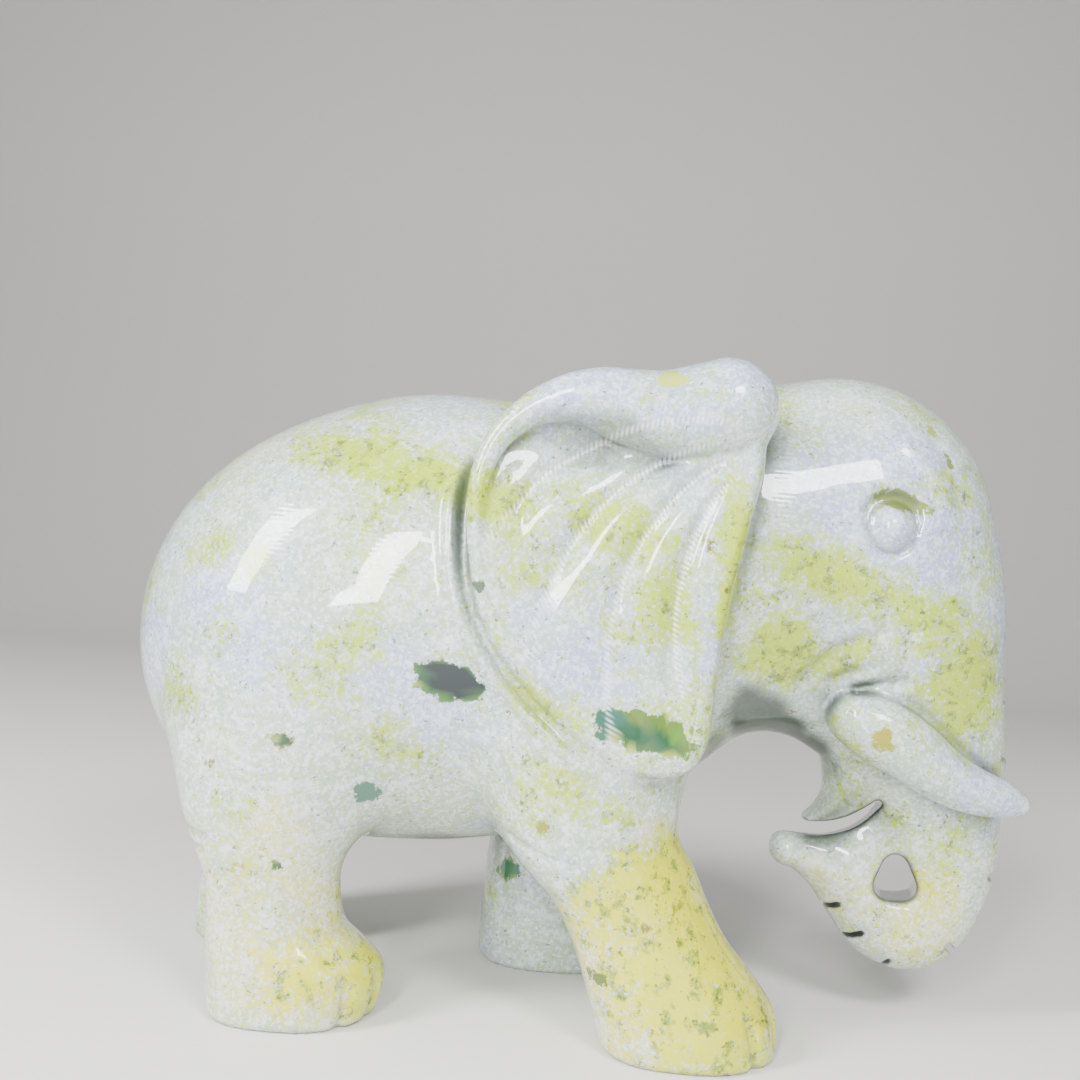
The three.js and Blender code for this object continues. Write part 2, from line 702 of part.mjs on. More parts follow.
// Thin a closed surface by collapsing its cheapest edges, measured by their distance from the old faces
function thin({ places, faces }, budget) {
  const at = Float64Array.from(places.flat());
  const quadrics = new Float64Array(places.length * 10);
  const around = Array.from({ length: places.length }, () => []);
  const corner = Int32Array.from(faces.flat());
  const alive = new Uint8Array(faces.length).fill(1);
  const stamp = new Int32Array(places.length);
  const shortEdge = 0.001;
  const keepNormal = 0.3;
  const slimmest = 0.08;
  const heap = edgeHeap();
  const q = new Float64Array(10);
  const target = new Float64Array(3);
  const normal = new Float64Array(3);

  // Twice the area of a face, with its direction in normal. Corner m, if any, is moved to the target
  function measure(a, b, c, m) {
    const [ax, ay, az] = a === m ? target : [at[a * 3], at[a * 3 + 1], at[a * 3 + 2]];
    const [bx, by, bz] = b === m ? target : [at[b * 3], at[b * 3 + 1], at[b * 3 + 2]];
    const [cx, cy, cz] = c === m ? target : [at[c * 3], at[c * 3 + 1], at[c * 3 + 2]];
    const [ux, uy, uz, vx, vy, vz] = [bx - ax, by - ay, bz - az, cx - ax, cy - ay, cz - az];
    normal[0] = uy * vz - uz * vy;
    normal[1] = uz * vx - ux * vz;
    normal[2] = ux * vy - uy * vx;
    const wide = (vx - ux) ** 2 + (vy - uy) ** 2 + (vz - uz) ** 2;
    const longest = max(ux * ux + uy * uy + uz * uz, vx * vx + vy * vy + vz * vz, wide);
    const area = sqrt(normal[0] ** 2 + normal[1] ** 2 + normal[2] ** 2);
    return { area, slim: area / longest };
  }

  faces.forEach((face, f) => {
    face.forEach((v) => around[v].push(f));
    const { area } = measure(...face, -1);
    if (area > 0) {
      const [x, y, z] = normal.map((value) => value / area);
      const w = -(x * at[face[0] * 3] + y * at[face[0] * 3 + 1] + z * at[face[0] * 3 + 2]);
      const plane = [x * x, x * y, x * z, x * w, y * y, y * z, y * w, z * z, z * w, w * w];
      face.forEach((v) => plane.forEach((value, n) => { quadrics[v * 10 + n] += value * area; }));
    }
  });

  function error(x, y, z) {
    return q[0] * x * x + 2 * q[1] * x * y + 2 * q[2] * x * z + 2 * q[3] * x + q[4] * y * y
      + 2 * q[5] * y * z + 2 * q[6] * y + q[7] * z * z + 2 * q[8] * z + q[9];
  }

  // Least error of joining u and v in one point, which is left in the target
  function edgeCost(u, v) {
    for (let n = 0; n < 10; n += 1) {
      q[n] = quadrics[u * 10 + n] + quadrics[v * 10 + n];
    }
    const from = at.subarray(u * 3, u * 3 + 3);
    const to = at.subarray(v * 3, v * 3 + 3);
    const middle = [(from[0] + to[0]) / 2, (from[1] + to[1]) / 2, (from[2] + to[2]) / 2];
    const span = (from[0] - to[0]) ** 2 + (from[1] - to[1]) ** 2 + (from[2] - to[2]) ** 2;
    let best = Infinity;
    for (const point of [middle, from, to]) {
      const cost = error(point[0], point[1], point[2]);
      if (cost < best) {
        best = cost;
        target.set(point);
      }
    }
    const c0 = q[4] * q[7] - q[5] * q[5];
    const c1 = q[5] * q[2] - q[1] * q[7];
    const c2 = q[1] * q[5] - q[4] * q[2];
    const det = q[0] * c0 + q[1] * c1 + q[2] * c2;
    if (det > 1e-4 * (q[0] + q[4] + q[7]) ** 3) {
      const x = -(q[3] * c0 + q[6] * c1 + q[8] * c2) / det;
      const y = -(q[3] * c1 + q[6] * (q[0] * q[7] - q[2] * q[2]) + q[8] * (q[1] * q[2] - q[0] * q[5])) / det;
      const z = -(q[3] * c2 + q[6] * (q[1] * q[2] - q[0] * q[5]) + q[8] * (q[0] * q[4] - q[1] * q[1])) / det;
      const cost = error(x, y, z);
      if (cost < best && (x - middle[0]) ** 2 + (y - middle[1]) ** 2 + (z - middle[2]) ** 2 < span) {
        best = cost;
        target.set([x, y, z]);
      }
    }
    return max(best, 0) + shortEdge * span;
  }

  function pushEdge(u, v) {
    heap.push(edgeCost(u, v), u, v, stamp[u] + stamp[v]);
  }

  function pushAll() {
    for (let n = 0; n < corner.length; n += 1) {
      const next = n % 3 === 2 ? n - 2 : n + 1;
      if (alive[(n / 3) | 0] && corner[n] < corner[next]) {
        pushEdge(corner[n], corner[next]);
      }
    }
  }

  function neighbours(v) {
    const found = new Set();
    for (const f of around[v]) {
      found.add(corner[f * 3]).add(corner[f * 3 + 1]).add(corner[f * 3 + 2]);
    }
    found.delete(v);
    return found;
  }

  // True where moving a point to the target would fold or squeeze one of its faces
  function spoils(moved, other) {
    for (const f of around[moved]) {
      const a = corner[f * 3];
      const b = corner[f * 3 + 1];
      const c = corner[f * 3 + 2];
      if (a !== other && b !== other && c !== other) {
        const was = measure(a, b, c, -1);
        const [x, y, z] = normal;
        const next = measure(a, b, c, moved);
        const dot = x * normal[0] + y * normal[1] + z * normal[2];
        if (dot < keepNormal * was.area * next.area || (next.slim < slimmest && next.slim < was.slim)) {
          return true;
        }
      }
    }
    return false;
  }

  function collapse(u, v, beside) {
    for (let n = 0; n < 10; n += 1) {
      quadrics[v * 10 + n] += quadrics[u * 10 + n];
    }
    at.set(target, v * 3);
    let gone = 0;
    for (const f of around[u]) {
      const own = corner.subarray(f * 3, f * 3 + 3);
      if (own.includes(v)) {
        alive[f] = 0;
        gone += 1;
      } else {
        own[own.indexOf(u)] = v;
        around[v].push(f);
      }
    }
    around[u] = [];
    for (const w of beside) {
      around[w] = around[w].filter((f) => alive[f]);
    }
    stamp[v] += 1;
    neighbours(v).forEach((w) => pushEdge(v, w));
    return gone;
  }

  let left = faces.length;
  let leftBefore = Infinity;
  while (left > budget) {
    const edge = heap.pop();
    if (!edge) {
      if (left === leftBefore) {
        break;
      }
      leftBefore = left;
      pushAll();
      continue;
    }
    const [u, v, mark] = edge;
    if (around[u].length > 0 && around[v].length > 0 && stamp[u] + stamp[v] === mark) {
      const beside = neighbours(u);
      const ring = neighbours(v);
      const shared = [...beside].filter((w) => ring.has(w)).length;
      if (beside.has(v) && shared === 2) {
        edgeCost(u, v);
        if (!spoils(u, v) && !spoils(v, u)) {
          left -= collapse(u, v, beside);
        }
      }
    }
  }

  const renumbered = new Map();
  const position = [];
  const index = [];
  corner.forEach((v, n) => {
    if (alive[(n / 3) | 0]) {
      if (!renumbered.has(v)) {
        renumbered.set(v, renumbered.size);
        position.push(at[v * 3], at[v * 3 + 1], at[v * 3 + 2]);
      }
      index.push(renumbered.get(v));
    }
  });
  return { position, index };
}

// Heap of edges, the cheapest first
function edgeHeap() {
  let room = 1 << 20;
  let cost = new Float64Array(room);
  let load = new Int32Array(room * 3);
  let count = 0;

  function put(n, price, u, v, mark) {
    cost[n] = price;
    load[n * 3] = u;
    load[n * 3 + 1] = v;
    load[n * 3 + 2] = mark;
  }

  function move(from, to) {
    put(to, cost[from], load[from * 3], load[from * 3 + 1], load[from * 3 + 2]);
  }

  function grow() {
    room *= 2;
    const [oldCost, oldLoad] = [cost, load];
    cost = new Float64Array(room);
    load = new Int32Array(room * 3);
    cost.set(oldCost);
    load.set(oldLoad);
  }

  function push(price, u, v, mark) {
    if (count === room) {
      grow();
    }
    let n = count;
    count += 1;
    while (n > 0 && cost[(n - 1) >> 1] > price) {
      move((n - 1) >> 1, n);
      n = (n - 1) >> 1;
    }
    put(n, price, u, v, mark);
  }

  function pop() {
    if (count === 0) {
      return null;
    }
    const top = [load[0], load[1], load[2]];
    count -= 1;
    const last = [cost[count], load[count * 3], load[count * 3 + 1], load[count * 3 + 2]];
    let n = 0;
    for (let down = 1; down < count; down = 2 * n + 1) {
      if (down + 1 < count && cost[down + 1] < cost[down]) {
        down += 1;
      }
      if (last[0] <= cost[down]) {
        break;
      }
      move(down, n);
      n = down;
    }
    put(n, ...last);
    return top;
  }

  return { push, pop };
}

function elephantGeometry() {
  const samples = sampleForm();
  mend(samples);
  const { places, faces } = surface(samples);
  const { position, index } = thin({ places: settle(places), faces }, faceBudget);
  for (let n = 2; n < position.length; n += 3) {
    position[n] = position[n] < soleFlat ? 0 : position[n];
  }
  const geometry = new THREE.BufferGeometry();
  geometry.setAttribute('position', new THREE.Float32BufferAttribute(position, 3));
  geometry.setIndex(index);
  geometry.computeBoundingBox();
  const { min: low, max: high } = geometry.boundingBox;
  geometry.translate(-(low.x + high.x) / 2, -(low.y + high.y) / 2, 0);
  geometry.scale(length / (high.x - low.x), length / (high.x - low.x), length / (high.x - low.x));
  geometry.computeVertexNormals();
  return geometry;
}

const elephant = new THREE.Mesh(elephantGeometry(), new THREE.MeshStandardMaterial(jade));
elephant.name = 'elephant';

const group = new THREE.Group();
group.add(elephant);

export default group;
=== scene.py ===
# Jade elephant carving: the polished stone, its colours, and a plain studio around it
import math

import bpy
import numpy as np
from mathutils import Matrix, Vector, noise


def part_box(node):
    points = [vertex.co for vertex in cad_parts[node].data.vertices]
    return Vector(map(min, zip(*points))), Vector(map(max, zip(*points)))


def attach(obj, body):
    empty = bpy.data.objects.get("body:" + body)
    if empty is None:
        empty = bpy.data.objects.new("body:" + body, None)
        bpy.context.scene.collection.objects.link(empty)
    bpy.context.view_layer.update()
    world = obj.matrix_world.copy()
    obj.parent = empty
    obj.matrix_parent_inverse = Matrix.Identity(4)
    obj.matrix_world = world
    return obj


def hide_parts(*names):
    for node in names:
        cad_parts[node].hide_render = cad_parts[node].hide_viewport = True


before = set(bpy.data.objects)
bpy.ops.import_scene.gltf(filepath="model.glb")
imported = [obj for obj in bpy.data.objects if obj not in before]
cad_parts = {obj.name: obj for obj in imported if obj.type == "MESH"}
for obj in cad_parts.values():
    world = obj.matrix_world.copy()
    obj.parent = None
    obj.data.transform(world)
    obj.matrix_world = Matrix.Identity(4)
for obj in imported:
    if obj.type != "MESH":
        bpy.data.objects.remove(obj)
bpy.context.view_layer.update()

mm = 0.001

# The carving, in shares of its own length: 275 shares from rump to trunk. It faces +X
elephant = {
    "cell": 0.95,           # finest step of the form
    "block": 4,             # cells to a side of a block
    "low": (-141, -66, -3),
    "high": (143, 66, 205),
    "faces": 190000,        # most triangles kept
    "soleFlat": 0.3,        # points lower than this lie in the sole
    "torso": [              # centre, half sizes
        ((-79.6, 0, 106), (56.5, 52, 59.5)),
        ((-44, 0, 114), (76.8, 57, 69.6)),
        ((-4, 0, 118), (52, 56, 62.2)),
        ((43, 0, 137.6), (43, 43, 53.4)),
        ((25.5, 0, 96.5), (19.5, 32, 24)),
    ],
    "torsoBlend": 16,
    "haunch": ((-82, 30, 94), (34, 23, 50)),
    "shoulder": ((3, 32, 96), (31, 25, 50)),
    "limbBlend": 9,
    "headLine": [           # x, z, half height in profile, half width
        (77.6, 149.3, 49.3, 41),
        (91, 129.8, 41.4, 36),
        (99.6, 112, 34.1, 30),
        (107.2, 95, 28.6, 25),
        (112.2, 80, 25, 21.5),
        (115.4, 66, 21.8, 18.5),
        (118.3, 52, 18.5, 16.5),
        (116.9, 40.5, 17.1, 15.5),
        (112, 32, 16.8, 14.5),
        (104, 31.2, 14.8, 13.5),
        (95.5, 37.5, 12.1, 12),
        (88.5, 43.4, 10.1, 10.5),
        (82, 47.2, 8.3, 9),
        (76, 49.4, 6.5, 7.6),
        (71.4, 49.8, 5.7, 7),
    ],
    "headBlend": 12,
    "jawLine": [
        (64, 106.4, 16.8, 28),
        (79, 100.5, 18.3, 25),
        (87.4, 92, 14.6, 21),
        (90.6, 83, 11.2, 17),
        (90, 74, 9.2, 14.5),
        (86.8, 67, 5.9, 11.5),
        (82, 62.4, 3.3, 8.5),
        (77.2, 59.7, 1.3, 6.5),
    ],
    "jawBlend": 6,
    "slotLine": [           # x, z, half width
        (64, 57.4, 2.2),
        (75, 56.6, 1.9),
        (82, 56.7, 2),
        (89, 58.8, 2),
        (94.2, 62.1, 1.7),
        (98, 65.8, 1.2),
    ],
    "slotBlend": 1.5,
    "slotSlant": (0.2, -0.16),   # along x and z for each share across
    "holeCorners": [(102.6, 40.7), (109.5, 40.9), (105.5, 47.9)],
    "holeRadius": 2.8,
    "holeBlend": 9,
    "holeBevel": 3,
    "holeSlant": (0.26, -0.12),
    "web": ((104, 0, 48), (24, 12.5, 24)),
    "webBlend": 3,
    "notches": [            # x, z, depth, half width
        (133.4, 124, 3, 0.9),
        (134.8, 103, 3, 0.9),
        (136, 85, 3, 0.9),
        (136.4, 46.5, 4, 0.9),
        (124.4, 22.5, 5, 0.9),
        (103, 16, 3, 0.9),
        (92, 25.2, 3.2, 0.8),
        (84.6, 33.4, 3, 0.8),
    ],
    "notchBlend": 1,
    "notchOutside": 3,
    "legs": [               # side, then stations: z, x, y, half length, half width
        (-1, [
            (-6, 40.2, 38.6, 25, 22.8),
            (5, 37.9, 38.5, 26.1, 22.6),
            (12, 36.2, 38, 26.6, 21.8),
            (20, 32.1, 37.5, 25.3, 20.5),
            (30, 25.5, 37, 23, 19.2),
            (40, 19.4, 36.4, 22.9, 19.4),
            (50, 12, 35.5, 25.4, 20.5),
            (62, 6, 34.5, 25.4, 22),
            (85, 3, 33, 27.6, 22),
        ]),
        (1, [
            (-6, 1.8, 33, 26.1, 23.6),
            (12, 1.8, 33, 26.1, 23.2),
            (25, 0.9, 33.5, 24.9, 21),
            (45, 1.2, 34, 24.2, 19.5),
            (62, 2.8, 34, 25, 21),
            (85, 4, 33, 28, 22),
        ]),
        (-1, [
            (-6, -76, 34.2, 22, 21.2),
            (8, -74.4, 34.2, 25, 21),
            (15, -75, 34.2, 24.9, 20.6),
            (20, -78, 33.8, 22.6, 20),
            (26, -81.4, 33.5, 19.5, 19),
            (38, -83.2, 33.5, 19, 18.8),
            (50, -85, 33, 22.5, 20),
            (62, -84.8, 32, 26.8, 21.5),
            (85, -82.6, 30, 32, 22),
        ]),
        (1, [
            (-6, -97, 33, 23.4, 20.5),
            (15, -97, 33, 23.4, 20.5),
            (26, -97.5, 33, 21, 19),
            (45, -94, 33, 21.5, 19),
            (62, -89, 32, 27, 21.5),
            (85, -83, 30, 32, 22),
        ]),
    ],
    "legPowers": (1.95, 2.9),   # front, back
    "soleRounding": 3,
    "legTop": 88,
    "legTopBlend": 12,
    "legBlend": 9,
    "toeAngles": (-42, -14, 14, 42),
    "toeDepth": 1.7,
    "toeWidth": 1.8,
    "toeTop": 15,
    "toeFade": 4,
    "toeReach": 4,
    "earOutline": [
        (46, 172), (46, 180), (42, 186), (33, 188), (21, 186), (8, 185), (-6, 184.5), (-17, 179.5),
        (-26.5, 170.5), (-32.5, 158), (-33.5, 143), (-30.5, 125), (-23, 110.5), (-11, 97.5), (1, 87.5),
        (12, 80.5), (24, 78), (32.5, 81.5), (36, 91), (36.8, 107), (39, 128), (42.5, 148), (45.5, 162),
    ],
    "earFace": 58.5,
    "earLean": (4.5, 135, 178),     # how far, from what height, to what height
    "earInner": 26,
    "earEdge": 4.5,
    "earBack": 6,
    "earBlend": 3,
    "hollow": ((-5, 166), (24, 9), 5),
    "rollLine": [           # x, z, radius, distance from the middle plane
        (35, 180.8, 14.4, 46.8),
        (20, 177.5, 13, 48.7),
        (9, 178.5, 10.9, 50.3),
        (-1, 180.2, 8.8, 51.9),
        (-11, 179.1, 6.5, 53.4),
        (-20, 175, 4.6, 54.6),
        (-27.6, 167.2, 3.6, 55.6),
        (-31.6, 157, 3, 56.6),
        (-32.3, 145, 2.6, 57),
        (-30.6, 132, 2.3, 57.2),
        (-27, 120, 1.8, 57.2),
    ],
    "rollBlend": 1.6,
    "flutePole": (48.5, 172),
    "fluteFirst": 159,
    "fluteSpacing": 18.4,
    "fluteCount": 4,
    "fluteCurl": 0.53,
    "fluteDepth": 2.4,
    "fluteBorder": 9,
    "fluteStart": 12,
    "fluteFade": 5,
    "ridge": {               # beside the ear's edge: gap, then crest, fading out up and to the front
        "gap": 2.2, "gapDepth": 1.2, "crest": 6.2, "height": 1.7, "half": 1.8,
        "top": 166, "topFade": 20, "front": 14, "frontFade": 10,
    },
    "tuskLine": [
        (83, 95.5, 8.5, 27),
        (90, 92.4, 10, 27.5),
        (98.5, 87.8, 9.6, 27.5),
        (108, 81.7, 8.5, 26.5),
        (118, 77, 7.3, 25),
        (127.6, 74.6, 5.8, 23.5),
        (133.8, 73.1, 3.8, 22.5),
    ],
    "tuskBlend": 2.5,
    "folds": [              # points in profile, depth, half width
        ([(64.5, 106), (74, 115.5), (87, 121.5)], 1.2, 2.6),
        ([(74.5, 106.5), (86, 111)], 0.8, 2),
        ([(82, 103.5), (89, 106.5), (96, 107)], 1.2, 2),
        ([(94.5, 122), (94.8, 109)], 0.9, 3),
        ([(-112, 52.5), (-100, 51.2)], 1.2, 1),
        ([(-111, 48), (-101, 47.2)], 1.2, 1),
        ([(-16, 58), (-8, 54.4), (1, 52.6)], 0.7, 0.9),
        ([(-2, 59.5), (5, 57.6), (13, 57.2)], 0.6, 0.9),
        ([(-20, 84), (-17, 77), (-13, 71)], -0.9, 1.6),
        ([(90, 176), (97, 169.5), (102, 160)], -0.9, 2.4),
        ([(96.5, 182), (103, 172), (107.5, 160)], 0.5, 2.2),
    ],
    "eye": (85.6, 36.4, 151.6),
    "eyeBall": 6.3,
    "eyeBlend": 0.8,
    "eyeGroove": (7.2, 1.5, 1.5),   # radius, half width, depth
    "eyeHood": 1.4,         # further depth of the socket over the ball
    "tailLine": [(4, 150, 2.4), (6, 138, 3.8), (9, 118, 3.8), (12, 98, 3.4), (14, 84, 5), (14, 74, 3)],
    "tailBlend": 3,
    "tailProud": 1.8,
    "waveLength": 9,        # hand-polished waves
    "waveDepth": 0.12,
    # Where each part of the form is worked out
    "headZone": 15,                     # x from
    "webZone": 80,                      # z to
    "mouthZone": (60, 72),              # x from, z to
    "earZone": (-45, 60, 70, 204, 20),  # x from, x to, z from, z to, distance across from
    "ridgeZone": (-48, 22, 78, 170, 28),
    "eyeZone": (60, 110, 130, 25),      # x from, x to, z from, distance across from
    "foldZone": 12,                     # distance across from
    "notchZone": 75,                    # x from
    "tailZone": (-80, -8, 24, 60, 170), # x to, y from, y to, z from, z to
    # Samples between two rows of each line
    "steps": {"head": 7, "jaw": 6, "slot": 8, "roll": 6, "tusk": 6, "tail": 6, "leg": 24, "ear": 5},
}


def blendMin(a, b, k):
    h = np.maximum(k - np.abs(a - b), 0) / k
    return np.minimum(a, b) - h * h * (k / 4)


def blendMax(a, b, k):
    return -blendMin(-a, -b, k)


def clip01(value):
    return np.clip(value, 0, 1)


def bell(value):
    return np.exp(-value * value)


# Catmull-Rom through rows of numbers, sampled evenly between each pair
def smoothRows(rows, perSpan):
    rows = np.array(rows, float)
    last = len(rows) - 1
    t = (np.arange(perSpan) / perSpan)[:, None]
    out = []
    for i in range(last):
        before, start, end, after = rows[max(i - 1, 0)], rows[i], rows[i + 1], rows[min(i + 2, last)]
        slopeStart, slopeEnd = (end - before) / 2, (after - start) / 2
        out.append(
            start * (2 * t**3 - 3 * t**2 + 1)
            + slopeStart * (t**3 - 2 * t**2 + t)
            + end * (3 * t**2 - 2 * t**3)
            + slopeEnd * (t**3 - t**2)
        )
    return np.vstack(out + [rows[last:]])


def ellipsoid(x, y, z, shape):
    (cx, cy, cz), (rx, ry, rz) = shape
    a, b, c = (x - cx) / rx, (y - cy) / ry, (z - cz) / rz
    n = np.sqrt(a * a + b * b + c * c)
    slope = np.sqrt((a / rx) ** 2 + (b / ry) ** 2 + (c / rz) ** 2)
    return n * (n - 1) / np.maximum(slope, 1e-6)


# Sweep of ellipses with their own half height in profile and half width across
def sweep(samples, x, y, z):
    best = np.full(x.shape, np.inf, x.dtype)
    square = y * y
    for cx, cz, high, wide in samples:
        n = np.sqrt(((x - cx) ** 2 + (z - cz) ** 2) / high**2 + square / wide**2)
        np.minimum(best, (n - 1) * min(high, wide), out=best)
    return best


# Sweep of balls, each at its own distance from the middle plane
def beads(samples, x, side, z):
    best = np.full(x.shape, np.inf, x.dtype)
    for cx, cz, radius, out in samples:
        np.minimum(best, np.sqrt((x - cx) ** 2 + (side - out) ** 2 + (z - cz) ** 2) - radius, out=best)
    return best


def segmentDistance(x, z, start, end):
    dx, dz = end[0] - start[0], end[1] - start[1]
    t = clip01(((x - start[0]) * dx + (z - start[1]) * dz) / (dx * dx + dz * dz))
    return np.hypot(x - start[0] - t * dx, z - start[1] - t * dz)


# Signed distance to a closed outline in profile, negative inside
def outlineDistance(points, x, z):
    best = np.full(x.shape, np.inf)
    inside = np.zeros(x.shape, bool)
    for (ax, az), (bx, bz) in zip(points, np.roll(points, 1, axis=0)):
        if abs(ax - bx) + abs(az - bz) > 1e-9:
            best = np.minimum(best, segmentDistance(x, z, (ax, az), (bx, bz)))
        if az != bz:
            inside ^= ((az > z) != (bz > z)) & (x < (bx - ax) * (z - az) / (bz - az) + ax)
    return np.where(inside, -best, best)


def lineSamples(name):
    return smoothRows(elephant[name + "Line"], elephant["steps"][name])


headSamples, jawSamples, slotSamples = (lineSamples(name) for name in ("head", "jaw", "slot"))
rollSamples, tuskSamples, tailSamples = (lineSamples(name) for name in ("roll", "tusk", "tail"))
legSamples = [(side, smoothRows(stations, elephant["steps"]["leg"])) for side, stations in elephant["legs"]]
outlineRows, earSteps = elephant["earOutline"], elephant["steps"]["ear"]
earLoop = smoothRows([outlineRows[-1]] + outlineRows + outlineRows[:2], earSteps)
earSamples = earLoop[earSteps:-earSteps - 1]


# Distance of the ear's face from the middle plane
def earFaceHeight(x, z, inward):
    e = elephant
    (hx, hz), (hw, hh), dip = e["hollow"]
    dish = dip * np.exp(-(((x - hx) / hw) ** 2) - ((z - hz) / hh) ** 2)
    px, pz = e["flutePole"]
    reach = np.hypot(x - px, z - pz)
    turn = np.degrees(np.arctan2(z - pz, x - px)) % 360
    place = (turn - e["fluteCurl"] * reach - e["fluteFirst"]) / e["fluteSpacing"]
    nearest = np.clip(np.round(place), 0, e["fluteCount"] - 1)
    across = np.minimum(np.abs(place - nearest), 0.5) * 2
    fade = clip01((inward - e["fluteBorder"]) / e["fluteFade"]) * clip01(reach / e["fluteStart"] - 1)
    lean, leanFrom, leanTo = e["earLean"]
    tilt = clip01((z - leanFrom) / (leanTo - leanFrom))
    flute = e["fluteDepth"] * (1 - across) ** 2 * fade
    return e["earFace"] - lean * tilt * tilt * (3 - 2 * tilt) - dish - flute


# Maps of the ear in profile, read back between their points
earMap = {"low": (-50, 62), "high": (64, 210), "step": 0.5}
mapX = np.arange(earMap["low"][0], earMap["high"][0] + earMap["step"] / 2, earMap["step"])
mapZ = np.arange(earMap["low"][1], earMap["high"][1] + earMap["step"] / 2, earMap["step"])
mapXs, mapZs = np.meshgrid(mapX, mapZ, indexing="ij")
earEdgeMap = outlineDistance(earSamples, mapXs, mapZs)
earFaceMap = earFaceHeight(mapXs, mapZs, -earEdgeMap)


def readMap(grid, x, z):
    u = np.clip((x - earMap["low"][0]) / earMap["step"], 0, grid.shape[0] - 1.001)
    v = np.clip((z - earMap["low"][1]) / earMap["step"], 0, grid.shape[1] - 1.001)
    i, j = u.astype(int), v.astype(int)
    s, t = u - i, v - j
    below = grid[i, j] * (1 - s) + grid[i + 1, j] * s
    above = grid[i, j + 1] * (1 - s) + grid[i + 1, j + 1] * s
    return below * (1 - t) + above * t


def earForm(x, side, z):
    e = elephant
    d = blendMax(readMap(earEdgeMap, x, z), side - readMap(earFaceMap, x, z), e["earEdge"])
    d = blendMax(d, e["earInner"] - side, e["earBack"])
    return blendMin(d, beads(rollSamples, x, side, z), e["rollBlend"])


def torsoForm(x, y, z):
    e = elephant
    side = np.abs(y)
    d = ellipsoid(x, y, z, e["torso"][0])
    for shape in e["torso"][1:]:
        d = blendMin(d, ellipsoid(x, y, z, shape), e["torsoBlend"])
    d = blendMin(d, ellipsoid(x, side, z, e["haunch"]), e["limbBlend"])
    d = blendMin(d, ellipsoid(x, side, z, e["shoulder"]), e["limbBlend"])
    rear, front, bottom, top, inner = e["ridgeZone"]
    at = np.flatnonzero((side > inner) & (x > rear) & (x < front) & (z > bottom) & (z < top))
    if len(at):
        r = e["ridge"]
        edge = readMap(earEdgeMap, x[at], z[at])
        gap = r["gapDepth"] * bell((edge - r["gap"]) / r["half"])
        crest = r["height"] * bell((edge - r["crest"]) / r["half"])
        fade = clip01((r["top"] - z[at]) / r["topFade"]) * clip01((r["front"] - x[at]) / r["frontFade"])
        d[at] += (gap - crest) * fade
    return d


def legForm(x, y, z, side, samples):
    e = elephant
    cx, cy, long, wide = (np.interp(z, samples[:, 0], samples[:, n]) for n in range(1, 5))
    a, b = (x - cx) / long, (y - side * cy) / wide
    power = np.where(a > 0, e["legPowers"][0], e["legPowers"][1])
    n = (np.abs(a) ** power + np.abs(b) ** power) ** (1 / power)
    d = (n - 1) * np.minimum(long, wide)
    at = np.flatnonzero((z < e["toeTop"]) & (a > 0) & (np.abs(d) < e["toeReach"]))
    if len(at):
        angle = np.degrees(np.arctan2(y[at] - side * cy[at], x[at] - cx[at]))
        reach = np.hypot(x[at] - cx[at], y[at] - side * cy[at])
        fade = e["toeDepth"] * clip01((e["toeTop"] - z[at]) / e["toeFade"])
        for toe in e["toeAngles"]:
            d[at] += fade * bell(np.radians(angle - toe) * reach / e["toeWidth"])
    d = blendMax(d, -z, e["soleRounding"])
    return blendMax(d, z - e["legTop"], e["legTopBlend"])


def tailForm(x, y, z):
    best = np.full(x.shape, np.inf)
    for cy, cz, radius in tailSamples:
        best = np.minimum(best, np.hypot(y - cy, z - cz) - radius)
    proud = elephant["tailProud"]
    return np.hypot(np.maximum(best + proud, 0), torsoForm(x, y, z)) - proud


# Each notch runs from outside the outline towards the nearest centre of the sweep
def notchCuts():
    outside = elephant["notchOutside"]
    cuts = []
    for x, z, deep, width in elephant["notches"]:
        nearest = np.argmin(np.hypot(x - headSamples[:, 0], z - headSamples[:, 1]) - headSamples[:, 2])
        aim = headSamples[nearest, :2] - (x, z)
        aim /= np.hypot(*aim)
        cuts.append((np.array((x, z)) - aim * outside, np.array((x, z)) + aim * deep, width))
    return cuts


cuts = notchCuts()


